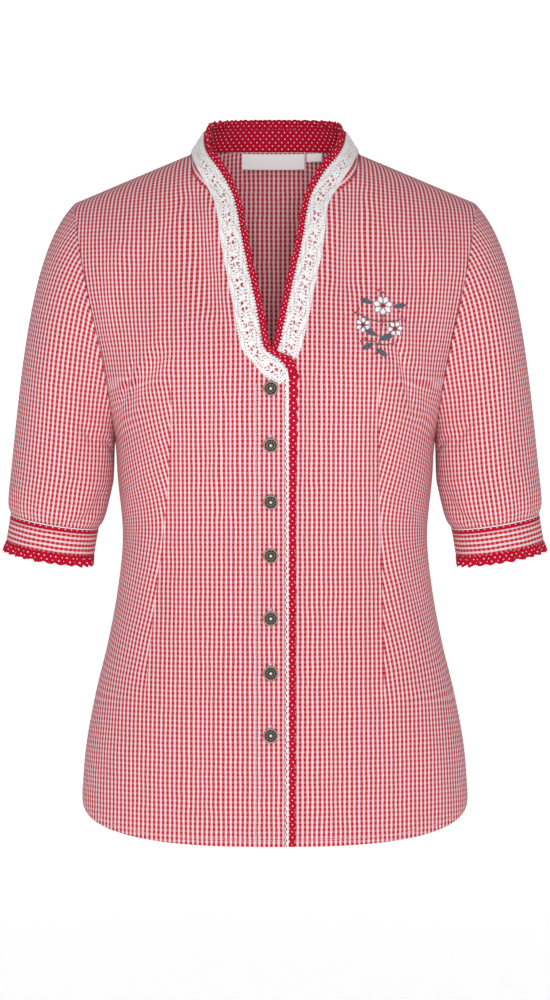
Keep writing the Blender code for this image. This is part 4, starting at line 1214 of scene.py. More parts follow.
def stand_edges():
    """Bottom and top points of the stand collar from its right front end round to its left one."""
    halves = {}
    for side in (-1, 1):
        name = side_name(side)
        bottoms = []
        tops = []
        for row in reversed(STAND_FRONT):
            seam_x = np.interp(row.seam_z, column(FRONT_EDGE, "z"), column(FRONT_EDGE, name))
            bottoms.append(on_front(side, seam_x, row.seam_z, 0.0))
            tops.append(front_place(side, getattr(row, name), row.y, row.z))
        for turn in np.linspace(math.pi / 2.0, 0.0, BACK_NECK_COLUMNS + 1):
            x = NECK_X * math.sin(turn)
            bottoms.append(np.array([side * x, read(STAND_BACK, "x", "y", x), read(STAND_BACK, "x", "z", x)]))
            top = np.array([read(STAND_BACK, "x", part, x) for part in ("top_x", "top_y", "top_z")])
            tops.append(top * (side, 1.0, 1.0))
        halves[side] = (bottoms, tops)
    bottoms = halves[-1][0] + halves[1][0][-2::-1]
    tops = halves[-1][1] + halves[1][1][-2::-1]
    return np.array(bottoms), np.array(tops)


def collar_grid(step, rows):
    """Fine grid of the stand collar and its outward directions."""
    bottoms, tops = stand_edges()
    middle = lengths((bottoms + tops) / 2.0)
    places = np.linspace(0.0, middle[-1], int(middle[-1] / step) + 1)
    low = curve(middle, bottoms, places)
    high = curve(middle, tops, places)
    low = low + unit(high - low) * STAND_SEAM_GAP
    share = np.linspace(0.0, 1.0, rows + 1)[:, None, None]
    grid = mix(low[None], high[None], share)
    return grid, -grid_normals(grid), middle


def lace_edges(side):
    """Inner and outer edges of the lace band from centre back down to the end of the V."""
    edges = []
    for row in STAND_BACK:
        inner = np.array([side * row.top_x, row.top_y, row.top_z], float)
        seam = np.array([side * row.x, row.y, row.z], float)
        edges.append((inner, inner + unit(seam - inner) * LACE_WIDTH))
    for row in LACE_LEFT if side > 0 else LACE_RIGHT:
        inner = front_place(side, row.x, row.y, row.z)
        edges.append((inner, front_place(side, row.out_x, row.out_y, row.out_z)))
    inner = np.array([edge[0] for edge in edges])
    outer = np.array([edge[1] for edge in edges])
    return inner, outer


def laid_on_front(side, grid):
    """Brings points below the collar out to the front's face, where they would sink into it."""
    x = grid[..., 0]
    z = grid[..., 2]
    on_cloth = ease((FRONT_EDGE[-4].z - z) / 6.0)
    face = on_front(side, x, z, 0.0)[..., 1]
    y = np.minimum(grid[..., 1], face)
    return np.stack([x, mix(grid[..., 1], y, on_cloth), z], axis=-1)


def lace_gaps(along, across):
    """Where the lace is open: pairs of ovals down its middle, a flower between them, and eyelets."""
    repeat = np.floor(along / LACE_REPEAT)
    place = along - repeat * LACE_REPEAT
    middle = across - LACE_WIDTH / 2.0
    open_cells = np.zeros(along.shape, bool)
    for number, centre in enumerate(LACE_PAIRS):
        for side in (-1.0, 1.0):
            sway = 0.5 * side + 0.45 * np.sin(2.3 * repeat + 1.9 * number + side)
            half = LACE_OVAL_LENGTH / 2.0 * (1.0 + 0.2 * np.sin(3.1 * repeat + number + side))
            beside = (middle - side * LACE_OVAL_APART / 2.0) / (LACE_OVAL_WIDTH / 2.0)
            open_cells |= ((place - centre - sway) / half) ** 2 + beside ** 2 < 1.0
    for turn in np.linspace(0.3, 0.3 + 2.0 * math.pi, 6)[:-1]:
        petal_along = place - LACE_FLOWER - 2.1 * math.cos(turn)
        open_cells |= np.hypot(petal_along, middle - 2.4 * math.sin(turn)) < 0.7
    for line, pitch, radius, shift in LACE_EYELETS:
        near = np.mod(along + shift, pitch) - pitch / 2.0
        sway = 0.5 * np.sin(along / 2.7 + line)
        size = radius * (1.0 + 0.25 * np.sin(along / 4.3 + line))
        open_cells |= np.hypot(near, across - line - sway) < size
    return open_cells


def lace_relief(along, across):
    """Height of the raised cords and plaited threads above the lace ground."""
    place = np.mod(along, LACE_REPEAT)
    cords = 0.0
    for line, width in LACE_CORDS:
        sway = 0.35 * np.sin(2.0 * math.pi * along / 3.4 + line)
        cords = cords + np.exp(-((across - line - sway) / width) ** 2)
    dense = np.exp(-((place - 4.5) / 3.2) ** 2) * np.exp(-((across - LACE_WIDTH / 2.0) / 3.0) ** 2)
    turn = 2.0 * math.pi
    twist = np.sin(turn * (along + 0.8 * across) / 1.5) * np.sin(turn * (along - across) / 1.9)
    return 0.45 * cords + 0.4 * dense + 0.14 * twist


def make_lace(side, name, node, colour_material):
    inner, outer = lace_edges(side)
    middle = lengths((inner + outer) / 2.0)
    along = np.arange(SEAM_GAP / 2.0, middle[-1], TRIM_MESH_STEP)
    count = int(LACE_WIDTH / TRIM_MESH_STEP) + 1
    notch = (1.0 - np.abs(np.sin(math.pi * along / LACE_PICOT_PITCH))) ** 0.7
    low = (LACE_PICOT * notch - 0.7) / LACE_WIDTH
    outer_notch = (1.0 - np.abs(np.sin(math.pi * along / LACE_OUTER_PITCH))) ** 0.7
    high = 1.0 - LACE_OUTER_PICOT * outer_notch / LACE_WIDTH
    share = mix(low[None, :], high[None, :], np.linspace(0.0, 1.0, count)[:, None])
    inner_line = curve(middle, inner, along)
    outer_line = curve(middle, outer, along)
    base = mix(inner_line[None], outer_line[None], np.linspace(0.0, 1.0, count)[:, None, None])
    base = laid_on_front(side, base)
    normals = grid_normals(base) * side
    grid = laid_on_front(side, mix(inner_line[None], outer_line[None], share[..., None]))
    where = np.broadcast_to(along[None, :], share.shape)
    across = share * LACE_WIDTH
    lift = LACE_STAND_OFF + TRIM_CLOTH + lace_relief(where, across)
    grid = grid + normals * lift[..., None]
    cell_along = (where[:-1, :-1] + where[1:, 1:]) / 2.0
    cell_across = (across[:-1, :-1] + across[1:, 1:]) / 2.0
    keep = ~lace_gaps(cell_along, cell_across)
    places = np.stack([where, across], axis=-1)
    piece, corners = make_sheet(name, grid, places, colour_material, TRIM_CLOTH, flip=side < 0, keep=keep)
    sew_on(piece, "cotton_lace", node)
    return piece, corners


def ripple(distance, pitch, seed):
    """Uneven gathers: a wave whose spacing and height wander along the ruffle."""
    wander = 0.9 * np.sin(distance / 17.0 + seed) + 0.6 * np.sin(distance / 7.3 + 2.0 * seed)
    height = 0.8 + 0.28 * np.sin(distance / 23.0 + 3.0 * seed) + 0.15 * np.sin(distance / 5.1 + seed)
    return np.sin(2.0 * math.pi * distance / pitch + wander) * height


def pinches(distance, out, pitch, seed):
    """Narrow slanting creases where a gathering thread pulls the cloth together."""
    total = 0.0
    for number in range(int(distance.max() / pitch) + 1):
        middle = pitch * (number + 0.5 + 0.35 * math.sin(2.1 * number + seed))
        slant = 0.55 * math.sin(1.7 * number + 3.0 * seed)
        width = 0.75 + 0.25 * math.sin(2.9 * number + seed)
        depth = 0.65 + 0.35 * math.sin(1.3 * number + 2.0 * seed)
        total = total + depth * np.exp(-((distance - middle - slant * out) / width) ** 2)
    return total


def gathered(places, pitch, seed):
    """Flat places of a gathered strip: more cloth lies in its folds than between them."""
    moved = places.copy()
    moved[..., 0] += 0.45 * ripple(places[..., 0], pitch, seed)
    return moved


def make_neck_ruffle():
    settings = bpy.context.scene.blouse_ruffles
    right = lace_edges(-1)
    left = lace_edges(1)
    inner = np.concatenate([right[0][:0:-1], left[0]])
    outer = np.concatenate([right[1][:0:-1], left[1]])
    middle = lengths((inner + outer) / 2.0)
    along = np.arange(0.0, middle[-1], RUFFLE_STEP)
    start = curve(middle, inner, along)
    far = curve(middle, outer, along)
    way = unit(start - far)
    facing = unit(np.cross(way, np.gradient(start, axis=0)))
    lap = ease((NECK_RUFFLE_LAP_Z - start[:, 2]) / NECK_RUFFLE_LAP_LENGTH)
    lap = np.where(along < middle[-1] / 2.0, lap, 0.0)
    base = start + way * NECK_RUFFLE_START + facing * mix(-NECK_RUFFLE_SINK, NECK_RUFFLE_LIFT, lap)[:, None]
    height = settings.neck_wave / MM * mix(1.0, 0.55, lap)
    wave = ripple(along, settings.gather_pitch / MM, 0.7) * height
    scallop = 0.55 * ripple(along, settings.gather_pitch / MM / 2.0, 1.9)
    share = np.linspace(-0.12, 1.0, 10)[:, None]
    in_neckline = ease(-start[:, 2] / NECK_RUFFLE_NARROWING)
    width = mix(NECK_RUFFLE_WIDTH, NECK_RUFFLE_NARROW, in_neckline)
    width = mix(width, NECK_RUFFLE_WIDTH, ease((NECK_RUFFLE_WIDENING - start[:, 2]) / 15.0))
    out = share * (width + scallop)[None, :]
    open_share = np.clip(share, 0.0, 1.0)
    creases = pinches(along[None, :], out, settings.gather_pitch / MM * 0.8, 0.7)
    creases = creases * RUFFLE_CREASE * np.minimum(open_share * 3.0, 1.0)
    creases = creases * mix(1.0, 0.5, in_neckline)[None, :]
    lift = wave[None, :] * open_share ** 0.8 - creases
    grid = base[None] + way[None] * out[..., None] + facing[None] * lift[..., None]
    places = gathered(strip_places(grid), settings.gather_pitch / MM, 0.7)
    piece, corners = make_sheet("neck_ruffle", grid, places, material("pin_dot"), SHOWN_THIN_CLOTH)
    sew_on(piece, "pin_dot_cotton", "ruffle_neck")
    return piece, corners


def make_front_ruffle():
    settings = bpy.context.scene.blouse_ruffles
    top_z = FRONT_RUFFLE_WIDTHS[-1].z - 1.0
    z = np.arange(top_z, hem_z(FRONT_RUFFLE_X) + SEAM_GAP, -RUFFLE_STEP)
    width = read(FRONT_RUFFLE_WIDTHS, "z", "width", z)
    wave = ripple(-z, settings.gather_pitch / MM, 2.4) * settings.front_wave / MM
    edge = 0.95 * ripple(-z, 1.3 * settings.gather_pitch / MM, 5.1)
    share = np.linspace(-0.5, 1.0, 13)[:, None]
    x = FRONT_RUFFLE_X + share * (width + edge)[None, :]
    open_share = np.clip(share, 0.0, 1.0)
    creases = pinches(top_z - z[None, :], x - FRONT_RUFFLE_X, settings.gather_pitch / MM, 2.4)
    creases = creases * RUFFLE_CREASE * np.minimum(open_share * 3.0, 1.0)
    lift = FRONT_RUFFLE_LIFT + wave[None, :] * open_share - creases
    grid = on_front(1, x, z[None, :] + np.zeros_like(x), lift)
    places = gathered(strip_places(grid), settings.gather_pitch / MM, 2.4)
    places[..., 1] += FRONT_RUFFLE_DOT_SHIFT
    piece, corners = make_sheet("front_ruffle", grid, places, material("pin_dot"), SHOWN_THIN_CLOTH)
    sew_on(piece, "pin_dot_cotton", "ruffle_front")
    return piece, corners


def make_picot_trim(colour_material):
    """Narrow braid with a loop at every crossing, on the edge of the placket."""
    z = np.arange(hem_z(TRIM_X) + SEAM_GAP, FRONT_RUFFLE_WIDTHS[-1].z, 0.5)
    loops = TRIM_LOOP_REACH * np.abs(np.sin(math.pi * z / TRIM_LOOP)) ** 0.8
    sway = 0.15 * np.sin(2.0 * math.pi * z / TRIM_LOOP + 0.6)
    share = np.linspace(0.0, 1.0, 12)[None, :]
    x = mix((TRIM_X - loops)[:, None], (TRIM_END_X + sway)[:, None], share)
    zz = z[:, None] + np.zeros_like(x)
    braid = 0.3 * np.abs(np.sin(math.pi * (zz + 2.0 * x) / 2.9)) + 0.2 * np.exp(-((x - 11.2) / 0.6) ** 2)
    grid = on_front(1, x, zz, TRIM_LIFT + braid)
    cell_x = (x[:-1, :-1] + x[1:, 1:]) / 2.0
    cell_z = (zz[:-1, :-1] + zz[1:, 1:]) / 2.0
    beside = cell_x - TRIM_HOLE_X
    near = np.mod(cell_z, TRIM_LOOP) - TRIM_LOOP / 2.0 + 0.7 * beside
    openness = mix(0.45, 1.0, ease((TRIM_OPEN_Z - cell_z) / 60.0))
    keep = np.hypot(near / 1.45, beside / 0.75) > openness
    places = np.stack([x, zz], axis=-1)
    piece, corners = make_sheet("picot_braid", grid, places, colour_material, TRIM_CLOTH, keep=keep)
    sew_on(piece, "cotton_lace", "picot_trim")
    return piece, corners


def make_button(number, z):
    """Cast button with a raised boss, a ring of small petals and a milled rim."""
    settings = bpy.context.scene.blouse_buttons
    turns = np.linspace(0.0, 2.0 * math.pi, BUTTON_TURNS, endpoint=False)
    radius = column(BUTTON_RELIEF, "radius")
    height = column(BUTTON_RELIEF, "height")
    milling = column(BUTTON_RELIEF, "milling")
    steps = np.linspace(0.0, len(radius) - 1.0, (len(radius) - 1) * 3 + 1)
    index = np.arange(len(radius))
    r = np.interp(steps, index, radius)[:, None]
    h = curve(index, height, steps)[:, None]
    m = np.interp(steps, index, milling)[:, None]
    petals = np.where(r < 4.9, np.cos(settings.petals * turns)[None, :],
                      np.sin(settings.rim_notches * turns[None, :] + 1.2 * r))
    tall = h + m * petals
    seat = on_front(-1, np.array(BUTTON_X), np.array(z), SEAM_GAP)
    above = on_front(-1, np.array(BUTTON_X), np.array(z + BUTTON_RADIUS), SEAM_GAP)
    below = on_front(-1, np.array(BUTTON_X), np.array(z - BUTTON_RADIUS), SEAM_GAP)
    up = unit(above - below)
    across = np.array([1.0, 0.0, 0.0])
    outward = np.cross(across, up)
    spin = turns + number * 0.37
    grid = seat + across * (r * np.cos(spin))[..., None] + up * (r * np.sin(spin))[..., None]
    grid = grid + outward * tall[..., None]
    rows = len(steps)
    count = BUTTON_TURNS
    points = np.concatenate([grid[0:1, 0], grid[1:-1].reshape(-1, 3), grid[-1:, 0]])
    faces = []
    for c in range(count):
        d = (c + 1) % count
        faces.append((0, 1 + c, 1 + d))
        last = 1 + (rows - 3) * count
        faces.append((len(points) - 1, last + d, last + c))
        for row in range(rows - 3):
            a = 1 + row * count
            faces.append((a + c, a + count + c, a + count + d, a + d))
    mesh = make_mesh(f"cast_button_{number}", points, faces)
    wear = np.concatenate([tall[0:1, 0], tall[1:-1].ravel(), tall[-1:, 0]])
    layer = mesh.attributes.new("wear", "FLOAT", "POINT")
    layer.data.foreach_set("value", np.clip((wear - 1.7) / 1.3, 0.0, 1.0))
    piece = link(f"cast_button_{number}", mesh, material("antique_pewter"))
    sew_on(piece, "pewter", f"button_{number}")
    return piece


def front_dip(turn, share):
    """How far the front of a ring round the arm hangs below its sides, and its back above them."""
    dip = CUFF_FRONT_DIP * np.sin(turn) * share
    return np.stack([0.0 * dip, 0.0 * dip, dip], axis=-1)


def cuff_ring(side, down, grow, turns):
    """Ring round the cuff a distance down its axis and a distance outside its band."""
    start = ARM_RINGS[-1]
    slope = math.radians(CUFF_TILT)
    axis = np.array([side * math.sin(slope), 0.0, -math.cos(slope)])
    centre = np.array([side * start.x, start.y, start.z]) + axis * (np.asarray(down)[..., None] + SEAM_GAP)
    ring = ring_point(side, centre, start.half_width + grow, start.half_depth + grow, CUFF_TILT, turns)
    return ring - front_dip(turns, 1.0)


def make_cuff_ring(side, name, node, profile, finish, slot_name, turned=False):
    """Band round the cuff through a profile of (distance down, distance out) pairs."""
    turns = np.linspace(-math.pi, math.pi, CUFF_MESH_COLUMNS, endpoint=False)
    rows = [cuff_ring(side, np.full(turns.shape, down), out, turns) for down, out in reversed(profile)]
    grid = np.array(rows)
    places = strip_places(grid, turned, closed=True)
    piece, corners = make_sheet(name, grid, places, finish, SHOWN_CLOTH, closed=True, flip=side > 0)
    sew_on(piece, slot_name, node)
    return piece, corners


def make_cuff_ruffle(side, word):
    settings = bpy.context.scene.blouse_ruffles
    columns = 3 * CUFF_MESH_COLUMNS
    turns = np.linspace(-math.pi, math.pi, columns, endpoint=False)
    waves = settings.cuff_waves
    wander = 0.5 * np.sin(3.0 * turns + side) + 0.4 * np.sin(7.0 * turns)
    height = 0.85 + 0.25 * np.sin(5.0 * turns + 1.0) + 0.15 * np.sin(11.0 * turns)
    wave = np.sin(waves * turns + wander) * height
    deep = np.sign(wave) * np.abs(wave) ** 0.8
    rows = []
    for share in np.linspace(1.0, -0.08, 9):
        open_share = max(share, 0.0)
        down = mix(CUFF_BAND_END + SEAM_GAP, CUFF_RUFFLE_END, share) + 0.9 * wave * open_share ** 2
        out = (CUFF_RUFFLE_FLARE + deep * settings.cuff_wave / MM) * open_share ** 0.6
        if share < 0.0:
            out = out - 0.9
        rows.append(cuff_ring(side, down, out, turns))
    grid = np.array(rows)
    places = gathered(strip_places(grid, closed=True), settings.gather_pitch / MM, 1.1)
    piece, corners = make_sheet(f"cuff_frill_{word}", grid, places, material("pin_dot"), SHOWN_THIN_CLOTH,
                                closed=True, flip=side > 0)
    sew_on(piece, "pin_dot_cotton", f"cuff_ruffle_{word}")
    return piece, corners


def make_label(name, node, start_x, end_x, drop, finish):
    """Woven label hanging inside the back from the neck seam, with its ends turned in."""
    x = np.linspace(start_x, end_x, 41)[None, :]
    down = np.linspace(0.0, drop, 15)[:, None]
    z = BACK_NECK_Z - LABEL_TOP - down + 0.0 * x
    bow = 0.5 * np.sin(math.pi * down / drop) + 0.25 * np.sin(x / 7.0) * (down / drop)
    neck_y = read(STAND_BACK, "x", "y", np.abs(x)) + 0.0 * z
    lean = 0.08 * down
    y = neck_y + lean - CLOTH - LABEL_STAND_OFF - SHOWN_CLOTH - bow
    grid = np.stack([x + 0.0 * z, y, z], axis=-1)[::-1]
    places = strip_places(grid)
    piece, corners = make_sheet(name, grid, places, finish, LABEL_THICKNESS)
    sew_on(piece, "woven_label", node)
    return piece, corners


def make_threads(name, runs, radius, rise):
    """Short raised stitches: runs is a list of (starts, ends, outward directions, material)."""
    points = []
    faces = []
    finishes = []
    indices = []
    sides = 6
    turns = np.linspace(0.0, 2.0 * math.pi, sides, endpoint=False)
    total = 0
    for starts, ends, outward, finish in runs:
        if finish not in finishes:
            finishes.append(finish)
        along = ends - starts
        way = unit(along)
        across = unit(np.cross(way, outward))
        up = np.cross(across, way)
        for t, size in ((0.0, 0.45), (0.25, 0.95), (0.5, 1.0), (0.75, 0.95), (1.0, 0.45)):
            centre = starts + along * t + up * rise * 4.0 * t * (1.0 - t)
            ring = centre[:, None] + (across[:, None] * np.cos(turns)[None, :, None]
                                      + up[:, None] * np.sin(turns)[None, :, None]) * radius * size
            points.append(ring.reshape(-1, 3))
        count = len(starts)
        block = count * sides
        for level in range(4):
            low = total + level * block + np.arange(block).reshape(count, sides)
            high = low + block
            quads = np.stack([low, np.roll(low, -1, axis=1), np.roll(high, -1, axis=1), high], axis=-1)
            faces += quads.reshape(-1, 4).tolist()
            indices += [finishes.index(finish)] * (count * sides)
        ends_low = total + np.arange(block).reshape(count, sides)
        faces += ends_low[:, ::-1].tolist()
        faces += (ends_low + 4 * block).tolist()
        indices += [finishes.index(finish)] * (2 * count)
        total += 5 * block
    mesh = make_mesh(name, np.concatenate(points), faces)
    for finish in finishes:
        mesh.materials.append(finish)
    mesh.polygons.foreach_set("material_index", indices)
    return link(name, mesh, None)


def stitch_run(line, outward, stitch, gap):
    """Start and end points of stitches of one length along a line of points."""
    along = lengths(line)
    starts = np.arange(0.0, along[-1] - stitch, stitch + gap)

    def at(places, values):
        return np.stack([np.interp(places, along, values[:, axis]) for axis in range(3)], axis=-1)

    return at(starts, line), at(starts + stitch, line), unit(at(starts + stitch / 2.0, outward))


def panel_line(panel, side, shares, rows):
    """Line of points on a body panel with its outward directions."""
    if panel == "front":
        line = front_point(side, shares, rows)
        ahead = front_point(side, shares + 0.002, rows)
        above = front_point(side, shares, rows + 0.02)
        facing = np.cross(ahead - line, above - line) * side
    else:
        line = back_point(shares, rows)
        facing = np.cross(back_point(shares, rows + 0.02) - line, back_point(shares + 0.002, rows) - line)
    return line, unit(facing)


def petal(centre, angle, length, width, count):
    """Parallel stitches that fill a pointed oval, in the plane of the cloth."""
    way = np.array([math.cos(angle), math.sin(angle)])
    square = np.array([-way[1], way[0]])
    shares = np.linspace(-0.86, 0.86, count)
    half = length / 2.0 * (1.0 - np.abs(shares) ** 1.6)
    middle = np.array(centre) + way * length / 2.0 + square * (shares * width / 2.0)[:, None]
    return middle - way * half[:, None], middle + way * half[:, None]


def oval_outline(centre, angle, length, width, count):
    """Small stitches round a pointed oval."""
    turns = np.linspace(0.0, 2.0 * math.pi, count + 1)
    way = np.array([math.cos(angle), math.sin(angle)])
    square = np.array([-way[1], way[0]])
    u = length / 2.0 * (1.0 - np.cos(turns))
    v = width / 2.0 * np.sin(turns) * np.abs(np.sin(turns)) ** 0.35
    points = np.array(centre) + way * u[:, None] + square * v[:, None]
    return points[:-1], points[1:]


# Stitched sprig on the wearer's left chest: flowers, leaves and berries round a curved stem
SPRIG_X = 93.0
SPRIG_Z = -161.0
FLOWER_HEART = 1.8
Flower = namedtuple("Flower", "x z radius petals turn")
FLOWERS = [
    Flower(4, 15, 9.5, 7, 0.2),
    Flower(-14, -3, 7.0, 6, 0.5),
    Flower(15, -6, 7.4, 6, 0.1),
]
Leaf = namedtuple("Leaf", "x z angle length width")
LEAVES = [
    Leaf(-3, -12, 150, 12, 5.0),
    Leaf(1, -16, 20, 13, 5.2),
    Leaf(-5, -20, 205, 11, 4.6),
    Leaf(-2, -25, -30, 11, 4.6),
    Leaf(14, 14, 10, 11, 4.4),
    Leaf(-6, 17, 160, 11, 4.4),
]
Berry = namedtuple("Berry", "x z")
BERRIES = [
    Berry(-18, 12), Berry(-21, 8), Berry(-15, 16), Berry(21, 6), Berry(24, 2), Berry(19, 10),
    Berry(-12, -15), Berry(-16, -18), Berry(13, -20), Berry(17, -17), Berry(4, 27), Berry(0, 29),
]
Stem = namedtuple("Stem", "x z bend_x bend_z end_x end_z")
STEMS = [
    Stem(-4, -30, 4, -10, 4, 8),
    Stem(0, -13, -8, -12, -13, -8),
    Stem(1, -14, 8, -14, 14, -11),
    Stem(2, 0, -12, 2, -20, 9),
    Stem(3, 0, 14, 0, 23, 4),
    Stem(4, 18, 4, 22, 2, 28),
    Stem(-3, -18, -9, -18, -15, -17),
    Stem(-2, -20, 6, -22, 15, -18),
]


def sprig_runs(finishes):
    """All stitches of the sprig, as runs for make_threads."""
    runs = []

    def add(starts, ends, finish):
        placed = []
        for flat in (starts, ends):
            x = SPRIG_X + flat[:, 0]
            z = SPRIG_Z + flat[:, 1]
            placed.append(on_front(1, x, z, 0.1))
        x = (starts[:, 0] + ends[:, 0]) / 2.0 + SPRIG_X
        z = (starts[:, 1] + ends[:, 1]) / 2.0 + SPRIG_Z
        runs.append((placed[0], placed[1], faced_front(1, x, z)[1], finishes[finish]))

    def add_knot(place, count, radius):
        turns = np.linspace(0.0, math.pi, count, endpoint=False)
        spokes = np.stack([np.cos(turns), np.sin(turns)], axis=-1) * radius
        middle = np.array([place.x, place.z])
        add(middle - spokes, middle + spokes, "dark_red")

    for stem in STEMS:
        t = np.linspace(0.0, 1.0, 13)[:, None]
        start = np.array([stem.x, stem.z])
        bend = np.array([stem.bend_x, stem.bend_z])
        end = np.array([stem.end_x, stem.end_z])
        line = start * (1.0 - t) ** 2 + bend * 2.0 * t * (1.0 - t) + end * t ** 2
        for beside in (-0.3, 0.3):
            add(line[:-1] + beside, line[1:] + beside * 0.6, "brown")
    for leaf in LEAVES:
        angle = math.radians(leaf.angle)
        add(*petal((leaf.x, leaf.z), angle, leaf.length, leaf.width, 13), "slate")
        add(*oval_outline((leaf.x, leaf.z), angle, leaf.length, leaf.width, 18), "brown")
    for flower in FLOWERS:
        for number in range(flower.petals):
            angle = flower.turn + 2.0 * math.pi * number / flower.petals
            heart = FLOWER_HEART
            start = (flower.x + heart * math.cos(angle), flower.z + heart * math.sin(angle))
            width = flower.radius * 0.52
            add(*petal(start, angle, flower.radius - heart, width, 9), "white")
            add(*oval_outline(start, angle, flower.radius - heart, width, 14), "slate")
        add_knot(flower, 8, 1.9)
    for berry in BERRIES:
        add_knot(berry, 5, 1.15)
    return runs


class BlouseCloth(bpy.types.PropertyGroup):
    """Gingham: sizes of the check and colours of its yarns."""

    check_width: FloatProperty(name="Check width", description="Repeat of the check across the cloth",
                               default=0.0043, unit="LENGTH")
    check_height: FloatProperty(name="Check height", description="Repeat of the check along the cloth",
                                default=0.0045, unit="LENGTH")
    check_sharpness: FloatProperty(name="Check sharpness", description="How crisply red turns to white",
                                   default=2.4)
    red_lead: FloatProperty(name="Red lead", description="How much wider red stripes are than white ones",
                            default=0.46)
    thread_pitch: FloatProperty(name="Thread pitch", description="Distance between neighbouring threads",
                                default=0.00036, unit="LENGTH")
    weft_share: FloatProperty(name="Weft share", description="How much of the cross threads shows",
                              default=0.23, subtype="FACTOR")
    weave_contrast: FloatProperty(name="Weave contrast", description="How far single threads stand out",
                                  default=0.18, subtype="FACTOR")
    red_yarn: FloatVectorProperty(name="Red yarn", description="Colour of the dyed yarn", subtype="COLOR",
                                  default=(0.51, 0.004, 0.012))
    white_yarn: FloatVectorProperty(name="White yarn", description="Colour of the plain yarn",
                                    subtype="COLOR", default=(0.80, 0.655, 0.71))


class BlouseDots(bpy.types.PropertyGroup):
    """Pin-dot cotton of the ruffles, the binding and the collar facing."""

    spacing: FloatProperty(name="Dot spacing", description="Distance of dots along a row",
                           default=0.0059, unit="LENGTH")
    row_spacing: FloatProperty(name="Row spacing", description="Distance between staggered rows",
                               default=0.0032, unit="LENGTH")
    dot_diameter: FloatProperty(name="Dot diameter", description="Diameter of one dot",
                                default=0.0012, unit="LENGTH")
    ground: FloatVectorProperty(name="Ground", description="Colour of the cloth", subtype="COLOR",
                                default=(0.52, 0.003, 0.03))
    ground_dark: FloatVectorProperty(name="Ground shade", description="Darker patches of the cloth",
                                     subtype="COLOR", default=(0.40, 0.001, 0.02))
    dot: FloatVectorProperty(name="Dot", description="Colour of the dots", subtype="COLOR",
                             default=(0.82, 0.66, 0.68))


class BlouseRuffles(bpy.types.PropertyGroup):
    """Gathers of the ruffles."""

    gather_pitch: FloatProperty(name="Gather pitch", description="Mean distance between gathers",
                                default=0.0106, unit="LENGTH")
    neck_wave: FloatProperty(name="Neck wave", description="Height of the waves at the neck",
                             default=0.0017, unit="LENGTH")
    front_wave: FloatProperty(name="Front wave", description="Height of the waves beside the placket",
                              default=0.0014, unit="LENGTH")
    cuff_wave: FloatProperty(name="Cuff wave", description="Height of the waves below the cuffs",
                             default=0.0019, unit="LENGTH")
    cuff_waves: IntProperty(name="Cuff waves", description="Waves round one cuff", default=24)


class BlouseTrim(bpy.types.PropertyGroup):
    """Colours of lace, piping, labels and sewing threads."""

    lace: FloatVectorProperty(name="Lace", description="Colour of the lace", subtype="COLOR",
                              default=(1.0, 0.955, 0.97))
    lace_ground: FloatVectorProperty(name="Lace ground", description="Colour between its threads",
                                     subtype="COLOR", default=(0.82, 0.36, 0.43))
    lace_openness: FloatProperty(name="Lace openness", description="How clearly the ground shows through",
                                 default=0.6, subtype="FACTOR")
    piping: FloatVectorProperty(name="Piping", description="Colour of the piping", subtype="COLOR",
                                default=(0.88, 0.82, 0.85))
    sewing: FloatVectorProperty(name="Sewing thread", description="Colour of the topstitching",
                                subtype="COLOR", default=(0.82, 0.72, 0.76))
    label: FloatVectorProperty(name="Label", description="Colour of the labels", subtype="COLOR",
                               default=(0.84, 0.83, 0.82))
    slate: FloatVectorProperty(name="Slate thread", description="Leaves of the sprig", subtype="COLOR",
                               default=(0.10, 0.12, 0.165))
    brown: FloatVectorProperty(name="Brown thread", description="Stems of the sprig", subtype="COLOR",
                               default=(0.16, 0.11, 0.10))
    dark_red: FloatVectorProperty(name="Dark red thread", description="Berries of the sprig",
                                  subtype="COLOR", default=(0.42, 0.01, 0.03))
    stitch: FloatProperty(name="Stitch length", description="Length of one topstitch",
                          default=0.0024, unit="LENGTH")


class BlouseButtons(bpy.types.PropertyGroup):
    """Cast metal buttons."""

    petals: IntProperty(name="Petals", description="Petals round the boss", default=10)
    rim_notches: IntProperty(name="Rim notches", description="Notches of the milled rim", default=22)
    metal: FloatVectorProperty(name="Metal", description="Colour where it is rubbed bright",
                               subtype="COLOR", default=(0.52, 0.44, 0.37))
    tarnish: FloatVectorProperty(name="Tarnish", description="Colour in the hollows", subtype="COLOR",
                                 default=(0.045, 0.038, 0.036))


class BlouseStage(bpy.types.PropertyGroup):
    """Studio and camera."""

    camera_distance: FloatProperty(name="Camera distance", description="Distance in front of the blouse",
                                   default=3.0, unit="LENGTH")
    camera_height: FloatProperty(name="Camera height", description="Height from the neck opening",
                                 default=-0.32085, unit="LENGTH")
    lens: FloatProperty(name="Lens", description="Focal length in millimetres", default=116.13)
    floor_colour: FloatVectorProperty(name="Floor colour", description="Colour of floor and backdrop",
                                      subtype="COLOR", default=(0.95, 0.95, 0.95))
    floor_drop: FloatProperty(name="Floor drop", description="Floor below the neck opening",
                              default=1.15, unit="LENGTH")
    room: FloatProperty(name="Room", description="Width and depth of the pale floor", default=15.0,
                        unit="LENGTH")
    backdrop_light: FloatProperty(name="Backdrop light", description="How brightly the backdrop is lit",
                                  default=0.5)
    world_light: FloatProperty(name="Surrounding light", description="Even light from all round",
                               default=0.33)
    key_light: FloatProperty(name="Key light", description="Soft light above on the left", default=8.0,
                             unit="POWER")
    front_light: FloatProperty(name="Front light", description="Soft light from behind the camera",
                               default=57.0, unit="POWER")
    top_light: FloatProperty(name="Top light", description="Soft light above that reaches inside the neck",
                             default=7.0, unit="POWER")


